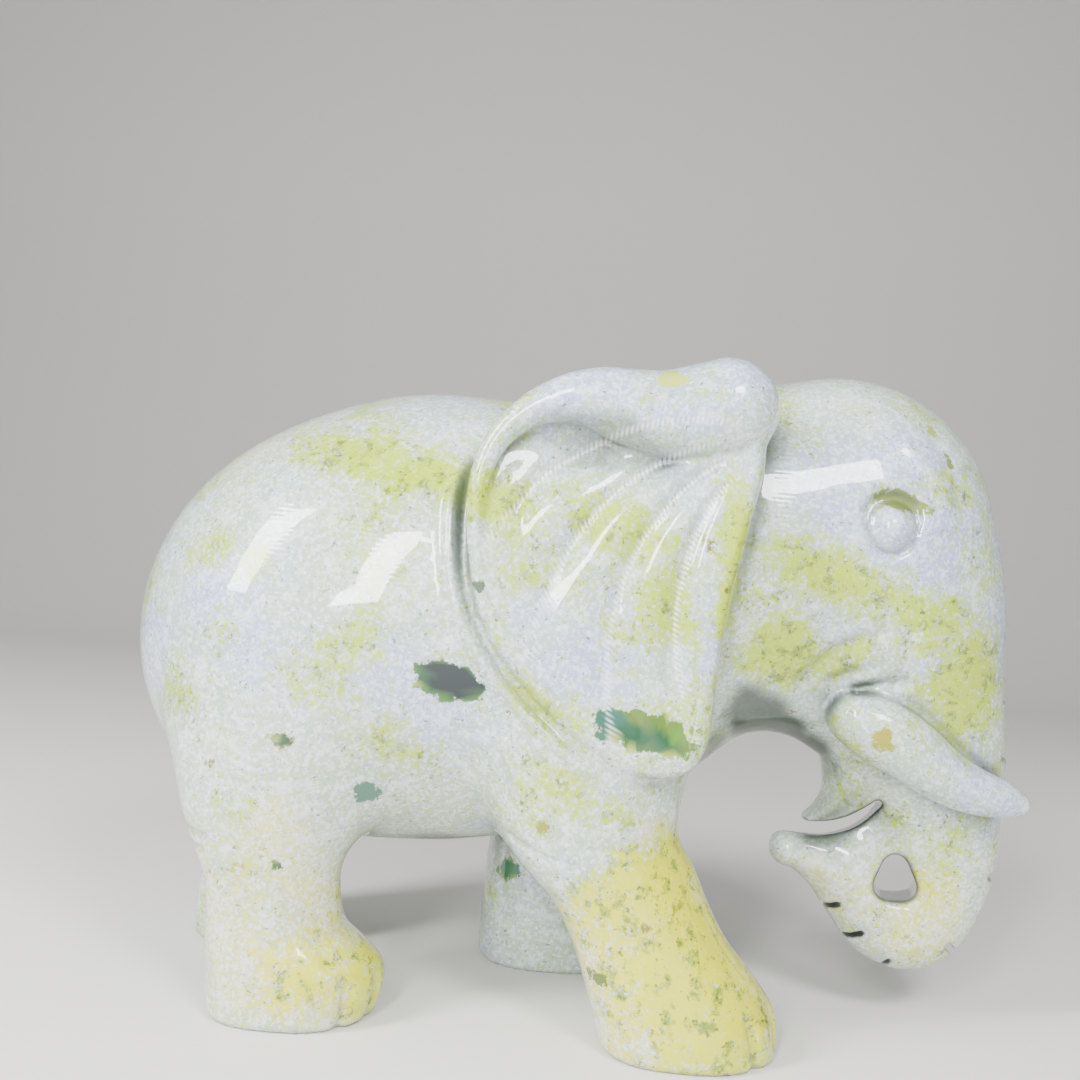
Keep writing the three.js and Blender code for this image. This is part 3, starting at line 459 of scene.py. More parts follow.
# Signed distance of the stone, negative inside
def form(points):
    e = elephant
    x, y, z = points.T
    side = np.abs(y)
    d = torsoForm(x, y, z)
    at = np.flatnonzero(z < e["legTop"] + e["legBlend"] + e["legTopBlend"] / 3)
    for legSide, samples in legSamples:
        d[at] = blendMin(d[at], legForm(x[at], y[at], z[at], legSide, samples), e["legBlend"])
    at = np.flatnonzero(x > e["headZone"])
    hx, hy, hz = x[at], y[at], z[at]
    head = sweep(headSamples, hx, hy, hz)
    webbed = blendMin(head, ellipsoid(hx, hy, hz, e["web"]), e["webBlend"])
    head = np.where(hz < e["webZone"], webbed, head)
    head = blendMin(head, sweep(jawSamples, hx, hy, hz), e["jawBlend"])
    head = blendMin(d[at], head, e["headBlend"])
    d[at] = blendMin(head, beads(tuskSamples, hx, np.abs(hy), hz), e["tuskBlend"])
    rear, top = e["mouthZone"]
    at = np.flatnonzero((x > rear) & (z < top))
    mx, my, mz = x[at], y[at], z[at]
    slot = np.full(mx.shape, np.inf)
    u, v = mx - e["slotSlant"][0] * my, mz - e["slotSlant"][1] * my
    for cx, cz, radius in slotSamples:
        slot = np.minimum(slot, np.hypot(u - cx, v - cz) - radius)
    drilled = np.full(mx.shape, np.inf)
    u, v = mx - e["holeSlant"][0] * my, mz - e["holeSlant"][1] * my
    for cx, cz in e["holeCorners"]:
        drilled = blendMin(drilled, np.hypot(u - cx, v - cz) - e["holeRadius"], e["holeBlend"])
    d[at] = blendMax(blendMax(d[at], -slot, e["slotBlend"]), -drilled, e["holeBevel"])
    rear, front, bottom, top, inner = e["earZone"]
    at = np.flatnonzero((x > rear) & (x < front) & (z > bottom) & (z < top) & (side > inner))
    d[at] = blendMin(d[at], earForm(x[at], side[at], z[at]), e["earBlend"])
    rear, front, bottom, inner = e["eyeZone"]
    at = np.flatnonzero((x > rear) & (x < front) & (z > bottom) & (side > inner))
    ex, ey, ez = e["eye"]
    grooveRadius, grooveHalf, grooveDepth = e["eyeGroove"]
    reach = np.hypot(x[at] - ex, z[at] - ez)
    over = clip01((z[at] - ez) / grooveRadius)
    depth = grooveDepth + e["eyeHood"] * over
    socket = d[at] + depth * bell((reach - grooveRadius - 1.5 * over) / (grooveHalf + over))
    ball = np.sqrt(reach**2 + (side[at] - ey) ** 2) - e["eyeBall"]
    d[at] = blendMin(socket, ball, e["eyeBlend"])
    for line, depth, half in e["folds"]:
        spread = 3 * half
        xs, zs = zip(*line)
        near = (x > min(xs) - spread) & (x < max(xs) + spread)
        near &= (z > min(zs) - spread) & (z < max(zs) + spread)
        at = np.flatnonzero(near & (side > e["foldZone"]))
        off = np.full(at.shape, np.inf)
        for start, end in zip(line, line[1:]):
            off = np.minimum(off, segmentDistance(x[at], z[at], start, end))
        d[at] += depth * bell(off / half)
    at = np.flatnonzero(x > e["notchZone"])
    for mouth, tip, width in cuts:
        d[at] = blendMax(d[at], width - segmentDistance(x[at], z[at], mouth, tip), e["notchBlend"])
    front, right, left, bottom, top = e["tailZone"]
    at = np.flatnonzero((x < front) & (y > right) & (y < left) & (z > bottom) & (z < top))
    d[at] = blendMin(d[at], tailForm(x[at], y[at], z[at]), e["tailBlend"])
    return d


# Form in turns of so many points, so that the arrays stay small
def formOf(points, turn=300000):
    return np.concatenate([form(points[n:n + turn]) for n in range(0, len(points), turn)])


# Form on a grid: block centres first, then every cell of the blocks near the surface
def sampleForm(cell):
    e = elephant
    block = e["block"]
    low, high = np.array(e["low"], float), np.array(e["high"], float)
    blocks = np.ceil((high - low) / (cell * block)).astype(int) + 1
    starts = np.stack(np.meshgrid(*[np.arange(n) for n in blocks], indexing="ij"), -1).reshape(-1, 3) * block
    middles = formOf(low + (starts + (block - 1) / 2) * cell)
    reach = cell * block * 0.5 * math.sqrt(3) * 1.5
    values = np.repeat(middles[:, None], block**3, axis=1)
    near = np.flatnonzero(np.abs(middles) <= reach)
    inner = np.stack(np.meshgrid(*[np.arange(block)] * 3, indexing="ij"), -1).reshape(-1, 3)
    points = low + (starts[near][:, None, :] + inner) * cell
    values[near] = formOf(points.reshape(-1, 3)).reshape(len(near), -1)
    shape = tuple(blocks) + (block,) * 3
    return values.reshape(shape).transpose(0, 3, 1, 4, 2, 5).reshape(blocks * block)


# Lift samples until no cell face holds more than one sheet of the surface
def mendSamples(values):
    outside = 0.05
    axes = [(0, 1), (1, 2), (0, 2)]
    for _ in range(12):
        changed = 0
        for a, b in axes:
            inside = values < 0
            moved = [np.roll(inside, (-i, -j), (a, b)) for i, j in ((0, 0), (1, 0), (1, 1), (0, 1))]
            crossed = (moved[0] == moved[2]) & (moved[1] == moved[3]) & (moved[0] != moved[1])
            for n in np.argwhere(crossed):
                corners = []
                for i, j in ((0, 0), (1, 0), (1, 1), (0, 1)):
                    corner = n.copy()
                    corner[a] += i
                    corner[b] += j
                    corners.append(tuple(corner))
                within = [c for c in corners if values[c] < 0]
                if len(within) == 2:
                    values[max(within, key=lambda c: values[c])] = outside
                    changed += 1
        if not changed:
            return


# One point in each cell that the surface crosses, one quad on each crossed edge
def surfaceNets(values, cell):
    inside = values < 0
    cells = np.array(values.shape) - 1
    total = np.zeros(tuple(cells) + (3,), np.float32)
    count = np.zeros(tuple(cells), np.int8)
    for axis in range(3):
        others = [n for n in range(3) if n != axis]
        for i, j in ((0, 0), (1, 0), (0, 1), (1, 1)):
            start = [0, 0, 0]
            start[others[0]], start[others[1]] = i, j
            end = list(start)
            end[axis] += 1
            lowPart = tuple(slice(s, s + c) for s, c in zip(start, cells))
            highPart = tuple(slice(s, s + c) for s, c in zip(end, cells))
            crossed = inside[lowPart] != inside[highPart]
            a, b = values[lowPart][crossed], values[highPart][crossed]
            offset = np.tile(np.array(start, np.float32), (len(a), 1))
            offset[:, axis] += a / (a - b)
            total[crossed] += offset
            count[crossed] += 1
    used = count > 0
    number = np.full(tuple(cells), -1, np.int64)
    number[used] = np.arange(used.sum())
    points = np.array(elephant["low"]) + (np.argwhere(used) + total[used] / count[used][:, None]) * cell
    quads = []
    for axis in range(3):
        b, c = (axis + 1) % 3, (axis + 2) % 3
        core = [slice(1, n) for n in cells]
        ahead = list(core)
        ahead[axis] = slice(2, cells[axis] + 1)
        crossed = inside[tuple(core)] != inside[tuple(ahead)]
        at = np.argwhere(crossed) + 1
        stepB, stepC = np.eye(3, dtype=int)[b], np.eye(3, dtype=int)[c]
        ring = np.stack([number[tuple(p.T)] for p in (at, at - stepB, at - stepB - stepC, at - stepC)], 1)
        outward = inside[tuple(at.T)]
        quads.append(np.where(outward[:, None], ring, ring[:, ::-1]))
    return points, np.vstack(quads)


def slopeAt(points, probe=0.2):
    d = formOf(points)
    slope = np.stack([(formOf(points + step) - d) / probe for step in np.eye(3) * probe], 1)
    return d, slope


# Move each point along the slope of the form on to its surface
def settle(points, furthest):
    d, slope = slopeAt(points)
    move = np.clip(-d / np.maximum((slope**2).sum(1), 0.3), -furthest, furthest)
    return points + slope * move[:, None]


def meshFrom(name, points, faces):
    mesh = bpy.data.meshes.new(name)
    corners = faces.shape[1]
    mesh.vertices.add(len(points))
    mesh.vertices.foreach_set("co", points.astype(np.float32).ravel())
    mesh.loops.add(faces.size)
    mesh.loops.foreach_set("vertex_index", faces.astype(np.int32).ravel())
    mesh.polygons.add(len(faces))
    mesh.polygons.foreach_set("loop_start", np.arange(0, faces.size, corners, dtype=np.int32))
    mesh.update(calc_edges=True)
    mesh.validate()
    piece = bpy.data.objects.new(name, mesh)
    bpy.context.scene.collection.objects.link(piece)
    return piece


def readPoints(mesh):
    flat = np.empty(len(mesh.vertices) * 3, np.float32)
    mesh.vertices.foreach_get("co", flat)
    return flat.reshape(-1, 3).astype(float)


def readNormals(mesh):
    flat = np.empty(len(mesh.vertices) * 3, np.float32)
    mesh.vertices.foreach_get("normal", flat)
    return flat.reshape(-1, 3)


def writePoints(mesh, points):
    mesh.vertices.foreach_set("co", points.astype(np.float32).ravel())
    mesh.update()


# Replaces an object's mesh with what its modifiers make of it
def applyModifiers(piece):
    shaped = piece.evaluated_get(bpy.context.evaluated_depsgraph_get())
    mesh = bpy.data.meshes.new_from_object(shaped)
    piece.modifiers.clear()
    piece.data = mesh


def makeElephant():
    e = elephant
    values = sampleForm(e["cell"])
    mendSamples(values)
    points, quads = surfaceNets(values, e["cell"])
    print("form sampled:", len(points), "points,", len(quads), "quads")
    piece = meshFrom("jadeElephant", settle(points, e["cell"] * 0.6), quads)
    thin = piece.modifiers.new("thin", "DECIMATE")
    thin.ratio = min(1, e["faces"] / (2 * len(quads)))
    applyModifiers(piece)
    points = readPoints(piece.data)
    points = settle(points, e["cell"] * 0.2)
    points[points[:, 2] < e["soleFlat"], 2] = 0
    print("form thinned:", len(piece.data.polygons), "faces")
    low, high = points.min(0), points.max(0)
    boxLow, boxHigh = (np.array(corner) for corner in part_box("elephant"))
    scale = min((boxHigh - boxLow) / (high - low)) * 0.9998
    middle = (low + high) / 2
    place = (boxLow + boxHigh) / 2 - middle * scale
    place[2] = boxLow[2] - low[2] * scale
    points = points * scale + place
    writePoints(piece.data, points)
    waves = np.array([noise.noise(Vector(point / (e["waveLength"] * mm))) for point in points])
    above = clip01(points[:, 2] / mm - 1)
    hollows = np.minimum(waves, 0) * above * e["waveDepth"] * mm
    writePoints(piece.data, points + readNormals(piece.data) * hollows[:, None])
    piece.data.shade_smooth()
    return piece


# The stone. Colours are sRGB, sizes and places in mm
jade = {
    "white": "#abbab1",
    "lavender": "#a2aad0",
    "cream": "#c9c78c",
    "greyGreen": "#a4b69c",
    "fleck": "#d3dae4",
    "dusk": "#8f9d95",
    # pale unpolished stone of the tool ripples, dotted with painted glints
    "paleGlint": "#eef2f6",
    "cloud": "#a4ba08",
    "cloudWarm": "#cbc704",
    "cloudDeep": "#76890b",
    "cloudPale": "#bcc653",
    "speck": "#4c5a10",
    # painted shade of recesses and hollows, partly the grey stone there
    "paintedShade": "#39433c",
    "roughness": 0.33,
    "coat": 1.0,
    "coatRoughness": 0.03,
    "subsurface": 0.18,
    "subsurfaceDepth": 4,
    "seed": 7,              # of the noise that bends the clouds and stains
    "groundSize": 30,       # sizes of the grain: ground tones, broken clouds, specks
    "cloudSize": 4.2,
    "speckSize": 1.3,
    "paintedShadeReach": (2.5, 7, 16),    # how far off the stone is felt for in a recess, for the painted shade there
    "eyeRing": 1.2,         # half width of the painted shade in the groove round the eye, its depth across and its strength
    "eyeRingReach": 12,
    "eyeRingShade": 0.5,
    "wideBend": (9, 4),     # size and amount of the noise that bends the clouds, and the stains
    "slightBend": (4, 1.2),
    "cloudEdge": (0.4, 1.2),    # share at the edge, growth inwards
    "tintEdge": (0.2, 1.6),
    "shadeEdge": (0.2, 1.4),
    "stainEdge": 1.2,
    "specular": 0.3,
    "subsurfaceRadius": (1, 0.95, 0.85),
    # How far a noise moves the level of the tones, the clouds, the specks and the stains' edges
    "toneSwing": 3,
    "cloudSwing": 1.6,
    "cloudFineSwing": 2.4,
    "speckSwing": 0.45,
    "speckGain": 0.035,
    "stainSwing": 6,
    "stainFineSwing": 2.6,
    # Level of a noise or field where a tone starts and where it is full, and its full share
    "shares": {
        "lavender": (-0.1, 0.8, 1),
        "cream": (-0.2, -0.9, 1),
        "greyGreen": (0.48, 0.62, 0.6),
        "dusk": (0.52, 0.38, 0.45),
        "grain": (0.5, 0.66, 0.6),
        "sugar": (0.47, 0.64, 0.75),
        "faintCloud": (0.48, 0.68, 0.6),
        "cloud": (0, 1, 0.97),
        "cloudWarm": (0, -0.8, 1),
        "cloudDeep": (0.5, 0.66, 1),
        "cloudPale": (0.5, 0.66, 0.4),
        "speck": (0.66, 0.74, 0.75),
        "stain": (0, 0.8, 1),
        "paintedShade": (0.12, 0.8, 0.95),
    },
    "ripple": 1.3,          # spacing and depth of the tool ripples
    "rippleDepth": 0.045,
    # Yellow-green clouds on the right side: centre, half sizes, turn in profile, strength
    "clouds": [
        ((-58, -45, 158), (42, 34, 8), -12, 1.0),
        ((-30, -52, 150), (17, 22, 8), -18, 1.0),
        ((-92, -40, 128), (7, 25, 5), 30, 0.8),
        ((-72, -50, 96), (14, 20, 7), -20, 0.6),
        ((-50, -55, 80), (16, 20, 8), -10, 0.6),
        ((-100, -40, 108), (6, 25, 9), 0, 0.5),
        ((-88, -40, 45), (12, 20, 9), 0, 0.5),
        ((-92, -40, 62), (10, 20, 10), 0, 0.5),
        ((-70, -45, 14), (14, 24, 12), 30, 0.9),
        ((-52, -40, 12), (10, 30, 16), 0, 1.0),
        ((6, -60, 146), (22, 14, 9), -20, 0.85),
        ((22, -60, 124), (13, 14, 10), -40, 0.9),
        ((14, -60, 118), (12, 14, 6), 0, 0.7),
        ((39, -60, 150), (6, 16, 13), 0, 1.3),
        ((39, -55, 125), (4, 16, 32), 0, 1.3),
        ((-22, -60, 144), (9, 14, 9), 0, 0.7),
        ((-12, -58, 96), (12, 14, 6), -35, 0.8),
        ((68, -38, 137), (26, 24, 9), -18, 1.0),
        ((96, -32, 128), (19, 24, 9), -22, 0.95),
        ((57, -34, 114), (13, 24, 11), 10, 1.2),
        ((76, -30, 112), (14, 22, 6), 35, 0.9),
        ((114, -25, 106), (15, 26, 20), 0, 1.1),
        ((102, -25, 118), (9, 22, 8), 0, 0.8),
        ((24, -45, 48), (31, 32, 13), 28, 1.15),
        ((34, -45, 26), (26, 36, 26), 35, 1.2),
        ((46, -45, 10), (28, 36, 18), 0, 1.15),
        ((-2, -50, 74), (14, 22, 6), -20, 0.75),
        ((10, -50, 68), (12, 22, 5), 10, 0.7),
        ((100, -16, 34), (20, 16, 16), 0, 0.3),
        ((96, 0, 186), (10, 30, 8), -40, 0.5),
    ],
    # Dark stains, painted one over the other: centre, half sizes, turn in profile, colour
    "stains": [
        ((-36, -52, 100), (11.5, 16, 6.2), -14, "#3f6f2b"),
        ((-35.5, -52, 100.3), (9.6, 16, 5), -14, "#01161d"),
        ((-44, -52, 101), (2.6, 16, 2.8), 0, "#1d4a2a"),
        ((19, -59, 90.5), (15.5, 10, 5.8), -10, "#4f6d12"),
        ((8, -60, 91.8), (4.6, 10, 4.8), -10, "#1c5a48"),
        ((18, -60, 89), (9, 10, 3.2), -12, "#0f4a2a"),
        ((27, -60, 90.5), (3, 10, 2.2), 0, "#4d7a12"),
        ((-80, -50, 80), (3.4, 16, 3.2), 0, "#1c4426"),
        ((-83, -50, 80.5), (2.4, 16, 2), 0, "#7d9440"),
        ((-80, -45, 45), (2.8, 16, 2.6), 20, "#2c5030"),
        ((-57, -52, 65.5), (5, 16, 3.8), 20, "#40695a"),
        ((-98, -42, 70), (4.2, 14, 1.8), -35, "#66602c"),
        ((-7, -50, 62), (2.6, 16, 2.4), 0, "#80861c"),
        ((11.5, -50, 21.5), (3, 16, 2.8), 0, "#56691a"),
        ((22, -50, 37), (2.2, 16, 2), 0, "#7d7420"),
        ((31, -48, 42), (3.8, 16, 2.2), 35, "#8c9418"),
        ((-16, 20, 31), (4.2, 18, 4.8), 20, "#36684a"),
        ((-33, -20, 46), (10, 30, 3.4), 0, "#8a6338"),
        ((88, -38, 90.5), (4.8, 12, 3.2), -20, "#8f8a1c"),
        ((64, -34, 96), (1.8, 14, 1.6), 0, "#8f5222"),
        ((98, -20, 182), (3.6, 20, 1.9), -50, "#8b9447"),
        ((103, -18, 172), (3.4, 20, 1.6), -60, "#6e7748"),
        ((107, -15, 165), (4.6, 20, 1.7), -70, "#5f6a45"),
        ((20, -60, 152), (1.8, 12, 1.4), 10, "#6e5c22"),
        ((32, -60, 142), (2, 12, 1.9), 20, "#705e24"),
        ((-30, -60, 126), (1.8, 12, 1.6), -30, "#4a5a48"),
        # olive over the eye's hood: partly stain, partly painted shade in the socket
        ((88, -38, 159.4), (9.5, 12, 3.6), -8, "#6f7d33"),
        ((18, -55, 186), (5, 14, 3), 20, "#b3bd4e"),
    ],
    # Painted shade in the throat, under the ear's roll, between the legs and under the belly, partly grey
    # stone there: centre, half sizes, turn in profile, strength
    "paintedShadeZones": [
        ((54, 0, 94), (24, 46, 13), -28, 1.3),
        ((74, 0, 87), (12, 24, 9), -35, 0.9),
        ((80, 0, 78), (9, 24, 12), 30, 0.5),
        ((42, 0, 84), (8, 34, 14), 0, 0.9),
        ((4, -56, 167), (34, 16, 11), -8, 0.5),
        ((-64, 0, 44), (7, 30, 20), 0, 0.6),
        ((-33, 0, 48), (24, 60, 6), 0, 0.6),
    ],
    # Lavender and cream zones: centre, half sizes, turn in profile, strength (cream below 0)
    "tinted": [
        ((86, -36, 158), (34, 50, 26), -20, 1.0),
        ((128, -20, 140), (14, 40, 34), 0, 0.8),
        ((2, -60, 112), (30, 14, 17), 0, 1.0),
        ((34, -60, 110), (8, 14, 24), 0, 0.8),
        ((10, -50, 184), (46, 34, 14), 0, 0.9),
        ((-110, -35, 104), (26, 50, 28), 0, 0.7),
        ((-30, -55, 92), (30, 30, 16), 0, 0.35),
        ((112, -24, 82), (30, 14, 14), -20, 1.0),
        ((-2, 30, 30), (34, 34, 34), 0, 0.4),
        ((30, -40, 24), (50, 40, 44), 30, -1.0),
        ((-80, -40, 20), (44, 40, 44), 0, -0.7),
        ((100, -14, 34), (36, 20, 24), 0, -0.5),
    ],
    # Lines of tool ripples beside the ear's flutes, dotted with painted glints: points in profile, half
    # width
    "rippled": [
        ([(-88, 148), (-86, 130), (-84, 112)], 3),
        ([(-64, 140), (-50, 124)], 3),
        ([(54, 172), (53, 160), (54, 148)], 2),
    ],
    "frostedFlute": 0.9,    # half width of the ripples in a flute
    "glintShare": 0.32,     # how pale the ripples' dots are, partly painted glints
    "dishRipple": 0.05,     # strength of the ripples in the ear's hollow, and of the lines beside it
    "lineRipple": 0.35,
}


# How deep points lie in an ellipsoid turned in profile: 1 in the middle, 0 on its surface
def depthIn(points, centre, half, turn):
    x, y, z = (points - centre).T
    cos, sin = math.cos(math.radians(turn)), math.sin(math.radians(turn))
    along, up = x * cos + z * sin, z * cos - x * sin
    return 1 - np.sqrt((along / half[0]) ** 2 + (y / half[1]) ** 2 + (up / half[2]) ** 2)


# The same with a soft edge: share at the surface, and how fast it grows inwards
def softIn(points, centre, half, turn, edge):
    return clip01(edge[0] + edge[1] * depthIn(points, centre, half, turn))


def bend(points, size, amount):
    return points + np.array([noise.noise_vector(Vector(point / size)) * amount for point in points])


def keepField(mesh, name, values):
    colour = values.ndim == 2
    field = mesh.attributes.new(name, "FLOAT_COLOR" if colour else "FLOAT", "POINT")
    field.data.foreach_set("color" if colour else "value", values.astype(np.float32).ravel())


# Marks every point of the stone with its clouds, stains, ripples of the tool, tones, and the shade painted
# into its recesses
def markPattern(mesh):
    j, e = jade, elephant
    noise.seed_set(j["seed"])
    points = readPoints(mesh) / mm
    bent, slight = (bend(points, *j[name]) for name in ("wideBend", "slightBend"))
    cloud = np.zeros(len(points))
    for centre, half, turn, strength in j["clouds"]:
        cloud = np.maximum(cloud, strength * softIn(bent, centre, half, turn, j["cloudEdge"]))
    keepField(mesh, "cloud", cloud)
    stain = np.full(len(points), -1.0)
    tint = np.ones((len(points), 4))
    for centre, half, turn, code in j["stains"]:
        depth = depthIn(slight, centre, half, turn) * min(half[0], half[2])
        own = clip01(depth * j["stainEdge"] + 0.5)
        own = np.where(stain <= -1, 1, own)     # away from every stain the last colour holds
        tint = tint * (1 - own[:, None]) + np.array(tone(code)) * own[:, None]
        stain = np.maximum(stain, depth)
    keepField(mesh, "stain", stain)
    keepField(mesh, "stainTint", tint)

    x, y, z = points.T
    px, pz = e["flutePole"]
    reach = np.hypot(x - px, z - pz)
    turn = np.degrees(np.arctan2(z - pz, x - px)) % 360
    place = (turn - e["fluteCurl"] * reach - e["fluteFirst"]) / e["fluteSpacing"]
    nearest = np.clip(np.round(place), 0, e["fluteCount"] - 1)
    across = np.abs(place - nearest) * np.radians(e["fluteSpacing"]) * reach
    onEar = clip01(-readMap(earEdgeMap, x, z) / 4) * (np.abs(y) > 40) * clip01(reach / e["fluteStart"] - 0.8)
    (hx, hz), (hw, hh), _ = e["hollow"]
    dish = clip01(1.6 - np.hypot((x - hx) / hw, (z - hz) / hh) * 1.2)
    ripple = onEar * np.maximum(bell(across / j["frostedFlute"]), j["dishRipple"] * dish)
    phase = reach
    for line, half in j["rippled"]:
        off = np.full(len(points), np.inf)
        for start, end in zip(line, line[1:]):
            off = np.minimum(off, segmentDistance(x, z, start, end))
        own = j["lineRipple"] * bell(off / half) * (y < 0)
        phase = np.where(own > ripple, z, phase)
        ripple = np.maximum(ripple, own)
    keepField(mesh, "ripple", ripple)
    keepField(mesh, "ripplePhase", phase)
    # Painted shade: the more the stone closes round a point, the darker it is painted
    normals = readNormals(mesh)
    closed = [1 - clip01(formOf(points + normals * reach) / reach) for reach in j["paintedShadeReach"]]
    hue = np.zeros(len(points))
    for centre, half, turn, strength in j["tinted"]:
        hue += strength * softIn(bent, centre, half, turn, j["tintEdge"])
    keepField(mesh, "hue", hue)
    paintedShade = np.mean(closed, 0)
    # Painted shade of the throat, under the ear's roll, between the legs and under the belly
    for centre, half, turn, strength in j["paintedShadeZones"]:
        paintedShade = np.maximum(paintedShade, strength * softIn(bent, centre, half, turn, j["shadeEdge"]))
    # Painted shade in the groove round the eye
    ex, ey, ez = e["eye"]
    fromEye = np.hypot(x - ex, z - ez) - e["eyeGroove"][0]
    eyeRing = bell(fromEye / j["eyeRing"]) * (np.abs(y) > ey - j["eyeRingReach"])
    paintedShade = np.maximum(paintedShade, j["eyeRingShade"] * eyeRing)
    keepField(mesh, "paintedShade", paintedShade)
    print("pattern marked:", len(points), "points")


# sRGB code as a linear colour
def tone(code):
    values = [int(code[n:n + 2], 16) / 255 for n in (1, 3, 5)]
    return [v / 12.92 if v <= 0.04045 else ((v + 0.055) / 1.055) ** 2.4 for v in values] + [1]


def wire(tree, source, socket):
    if isinstance(source, bpy.types.NodeSocket):
        tree.links.new(source, socket)
    else:
        socket.default_value = source


def calc(tree, operation, *values, clamp=False):
    node = tree.nodes.new("ShaderNodeMath")
    node.operation = operation
    node.use_clamp = clamp
    for value, socket in zip(values, node.inputs):
        wire(tree, value, socket)
    return node.outputs[0]


# Three unlike noises at once, each about 0.5
def noises(tree, coords, size, detail, rough=0.5):
    node = tree.nodes.new("ShaderNodeTexNoise")
    wire(tree, coords, node.inputs["Vector"])
    node.inputs["Scale"].default_value = 1 / (size * mm)
    node.inputs["Detail"].default_value = detail
    node.inputs["Roughness"].default_value = rough
    parts = tree.nodes.new("ShaderNodeSeparateColor")
    wire(tree, node.outputs["Color"], parts.inputs[0])
    return parts.outputs


# Share of a tone at a level of a noise or field
def share(tree, value, name):
    low, high, most = jade["shares"][name]
    node = tree.nodes.new("ShaderNodeMapRange")
    node.interpolation_type = "SMOOTHSTEP"
    settings = {"Value": value, "From Min": low, "From Max": high, "To Min": 0, "To Max": most}
    for socket, amount in settings.items():
        wire(tree, amount, node.inputs[socket])
    return node.outputs[0]


# A level moved up and down by a noise
def swing(tree, level, noiseSocket, amount):
    centred = calc(tree, "SUBTRACT", noiseSocket, 0.5)
    return calc(tree, "ADD", level, calc(tree, "MULTIPLY", centred, amount))


def mixColour(tree, factor, first, second):
    node = tree.nodes.new("ShaderNodeMix")
    node.data_type = "RGBA"
    wire(tree, factor, node.inputs[0])
    wire(tree, first, node.inputs[6])
    wire(tree, second, node.inputs[7])
    return node.outputs[2]


def field(tree, name, output="Fac"):
    node = tree.nodes.new("ShaderNodeAttribute")
    node.attribute_name = name
    return node.outputs[output]


def makeJade():
    j = jade
    material = bpy.data.materials.new("polishedJade")
    material.use_nodes = True
    tree = material.node_tree
    shader = tree.nodes["Principled BSDF"]
    coords = tree.nodes.new("ShaderNodeTexCoord").outputs["Object"]
    broad = noises(tree, coords, j["groundSize"], 2)
    middle = noises(tree, coords, j["cloudSize"], 4, 0.62)
    fine = noises(tree, coords, j["speckSize"], 2, 0.6)

    # Pale ground with sugary grain
    hue = field(tree, "hue")
    drift = swing(tree, hue, broad[0], j["toneSwing"])
    colour = mixColour(tree, share(tree, drift, "lavender"), tone(j["white"]), tone(j["lavender"]))
    colour = mixColour(tree, share(tree, drift, "cream"), colour, tone(j["cream"]))
    colour = mixColour(tree, share(tree, broad[1], "greyGreen"), colour, tone(j["greyGreen"]))
    colour = mixColour(tree, share(tree, fine[2], "dusk"), colour, tone(j["dusk"]))
    colour = mixColour(tree, share(tree, middle[2], "grain"), colour, tone(j["fleck"]))
    colour = mixColour(tree, share(tree, fine[1], "sugar"), colour, tone(j["fleck"]))

    # Clouds, broken by the grain, and the faint ones of the whole stone
    faint = share(tree, broad[2], "faintCloud")
    cloud = calc(tree, "MAXIMUM", field(tree, "cloud"), faint)
    torn = swing(tree, cloud, middle[0], j["cloudSwing"])
    torn = swing(tree, torn, fine[2], j["cloudFineSwing"])
    mask = share(tree, torn, "cloud")
    yellow = mixColour(tree, share(tree, hue, "cloudWarm"), tone(j["cloud"]), tone(j["cloudWarm"]))
    yellow = mixColour(tree, share(tree, middle[1], "cloudDeep"), yellow, tone(j["cloudDeep"]))
    yellow = mixColour(tree, share(tree, fine[1], "cloudPale"), yellow, tone(j["cloudPale"]))
    colour = mixColour(tree, mask, colour, yellow)

    # Olive specks, more of them in the clouds
    level = calc(tree, "ADD", fine[0], calc(tree, "MULTIPLY", cloud, j["speckGain"]))
    level = swing(tree, level, middle[1], j["speckSwing"])
    colour = mixColour(tree, share(tree, level, "speck"), colour, tone(j["speck"]))

    # Dark stains with ragged edges
    edge = swing(tree, field(tree, "stain"), fine[2], j["stainFineSwing"])
    edge = swing(tree, edge, middle[2], j["stainSwing"])
    colour = mixColour(tree, share(tree, edge, "stain"), colour, field(tree, "stainTint", "Color"))
    # Painted shade in recesses and hollows, partly the grey stone there
    colour = mixColour(tree, share(tree, field(tree, "paintedShade"), "paintedShade"), colour, tone(j["paintedShade"]))

    # Ripples of the tool: pale unpolished stone, dotted with painted glints along the bumps
    ripple = field(tree, "ripple")
    wave = calc(tree, "SINE", calc(tree, "MULTIPLY", field(tree, "ripplePhase"), 2 * math.pi / j["ripple"]))
    glintDots = calc(tree, "MULTIPLY", ripple, calc(tree, "MULTIPLY_ADD", wave, j["glintShare"], j["glintShare"]))
    colour = mixColour(tree, glintDots, colour, tone(j["paleGlint"]))
    wire(tree, colour, shader.inputs["Base Color"])
    bump = tree.nodes.new("ShaderNodeBump")
    wire(tree, calc(tree, "MULTIPLY", wave, ripple), bump.inputs["Height"])
    bump.inputs["Distance"].default_value = j["rippleDepth"] * mm
    wire(tree, bump.outputs[0], shader.inputs["Normal"])
    wire(tree, bump.outputs[0], shader.inputs["Coat Normal"])

    shader.inputs["Roughness"].default_value = j["roughness"]
    shader.inputs["Specular IOR Level"].default_value = j["specular"]
    shader.inputs["Coat Weight"].default_value = j["coat"]
    shader.inputs["Coat Roughness"].default_value = j["coatRoughness"]
    shader.inputs["Subsurface Weight"].default_value = j["subsurface"]
    shader.inputs["Subsurface Scale"].default_value = j["subsurfaceDepth"] * mm
    shader.inputs["Subsurface Radius"].default_value = j["subsurfaceRadius"]
    return material


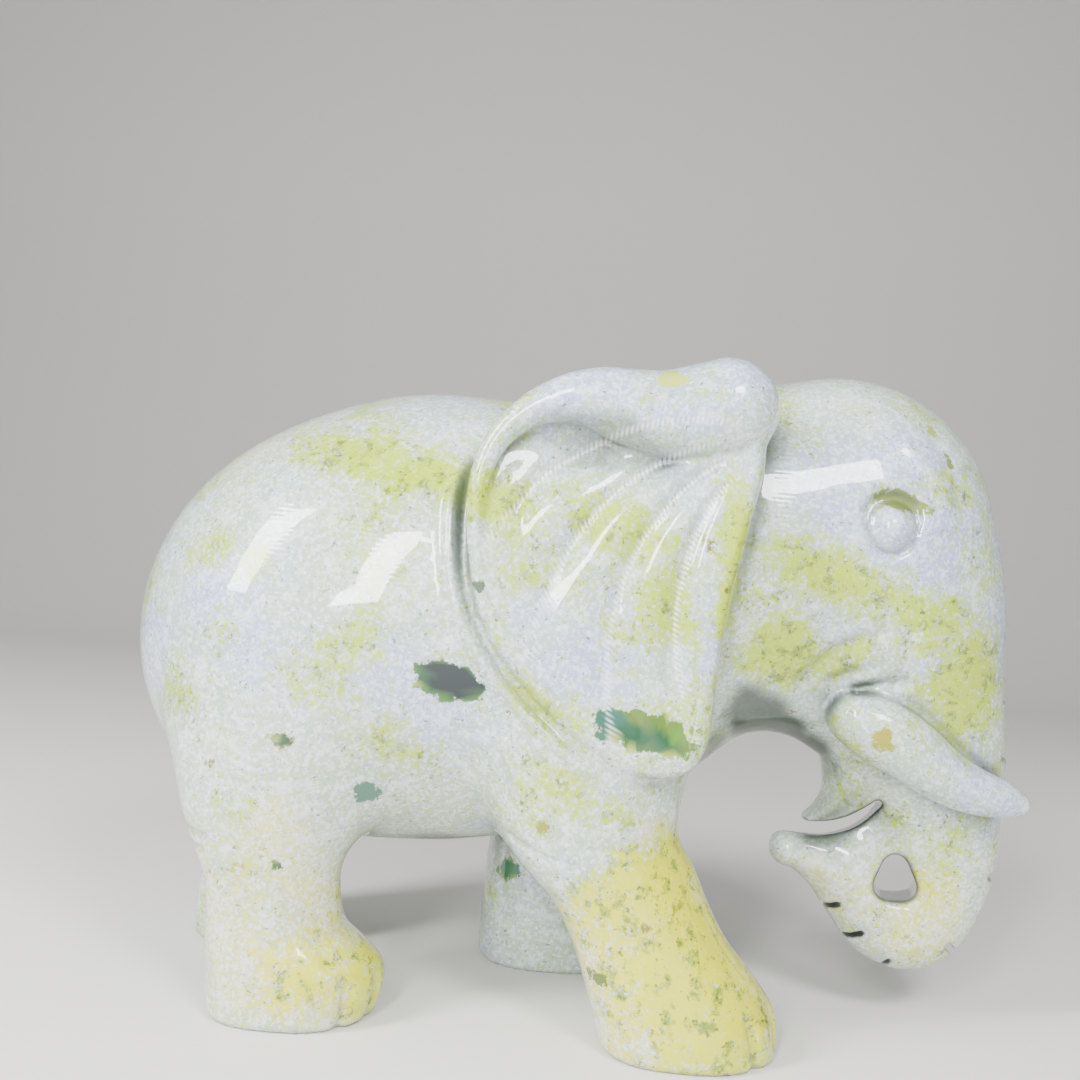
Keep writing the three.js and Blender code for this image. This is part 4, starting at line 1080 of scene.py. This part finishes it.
# Studio: sRGB colours, places and sizes in mm, the floor's in metres
studio = {
    "floor": "#dcdad6",
    "floorRoughness": 0.8,
    "floorHalf": 3.0,
    "floorFront": -2.5,
    "floorBack": 1.6,
    "floorRise": 2.6,
    "floorRadius": 0.7,
    "floorSteps": 24,
    "world": "#e6e8ec",
    "worldStrength": 0.36,
    "camera": (-14.5, -395, 140),
    "cameraRoll": 4.6,
    "lens": 41.67,
    "sensor": 36,
    "clipStart": 0.01,
    # Softboxes: place, aim, width, height, watts
    "softboxes": [
        ((-635, -424, 542), (-60, -50, 130), 180, 500, 13),
        ((-232, -766, 425), (-40, -50, 125), 95, 430, 7.5),
        ((262, -631, 668), (70, -40, 165), 260, 200, 8),
        ((100, -1500, 330), (0, 0, 90), 2400, 1300, 16),
        ((0, 0, 1400), (0, 0, 100), 1200, 900, 5),
    ],
}


def makeFloor():
    s = studio
    half, back, radius, steps = s["floorHalf"], s["floorBack"], s["floorRadius"], s["floorSteps"]
    profile = [(s["floorFront"], 0.0), (back - radius, 0.0)]
    for n in range(1, steps + 1):
        turn = math.pi / 2 * n / steps
        profile.append((back - radius + radius * math.sin(turn), radius - radius * math.cos(turn)))
    profile.append((back, s["floorRise"]))
    points = np.array([(x, y, z) for y, z in profile for x in (-half, half)])
    faces = np.array([(2 * n, 2 * n + 1, 2 * n + 3, 2 * n + 2) for n in range(len(profile) - 1)])
    floor = meshFrom("floor", points, faces)
    floor.data.shade_smooth()
    material = bpy.data.materials.new("paleFloor")
    material.use_nodes = True
    shader = material.node_tree.nodes["Principled BSDF"]
    shader.inputs["Base Color"].default_value = tone(s["floor"])
    shader.inputs["Roughness"].default_value = s["floorRoughness"]
    floor.data.materials.append(material)


def aim(place, target):
    return (Vector(target) - Vector(place)).to_track_quat("-Z", "Y").to_matrix().to_4x4()


def makeLights():
    for n, (place, target, width, height, watts) in enumerate(studio["softboxes"]):
        light = bpy.data.lights.new("softbox%d" % n, "AREA")
        light.shape = "RECTANGLE"
        light.size, light.size_y = width * mm, height * mm
        light.energy = watts
        lamp = bpy.data.objects.new(light.name, light)
        place, target = Vector(place) * mm, Vector(target) * mm
        lamp.matrix_world = Matrix.Translation(place) @ aim(place, target)
        bpy.context.scene.collection.objects.link(lamp)
    world = bpy.data.worlds.new("studio")
    world.use_nodes = True
    back = world.node_tree.nodes["Background"]
    back.inputs["Color"].default_value = tone(studio["world"])
    back.inputs["Strength"].default_value = studio["worldStrength"]
    bpy.context.scene.world = world


def makeCamera():
    s = studio
    camera = bpy.data.objects.new("camera", bpy.data.cameras.new("camera"))
    camera.data.lens = s["lens"]
    camera.data.sensor_width = s["sensor"]
    place = Vector(s["camera"]) * mm
    roll = Matrix.Rotation(math.radians(s["cameraRoll"]), 4, "Z")
    camera.matrix_world = Matrix.Translation(place) @ Matrix.Rotation(math.pi / 2, 4, "X") @ roll
    camera.data.clip_start = s["clipStart"]
    bpy.context.scene.collection.objects.link(camera)
    bpy.context.scene.camera = camera


makeCamera()
makeLights()
makeFloor()
print("studio set")
elephantPiece = makeElephant()
markPattern(elephantPiece.data)
elephantPiece.data.materials.append(makeJade())
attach(elephantPiece, "root")
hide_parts("elephant")
print("elephant finished")
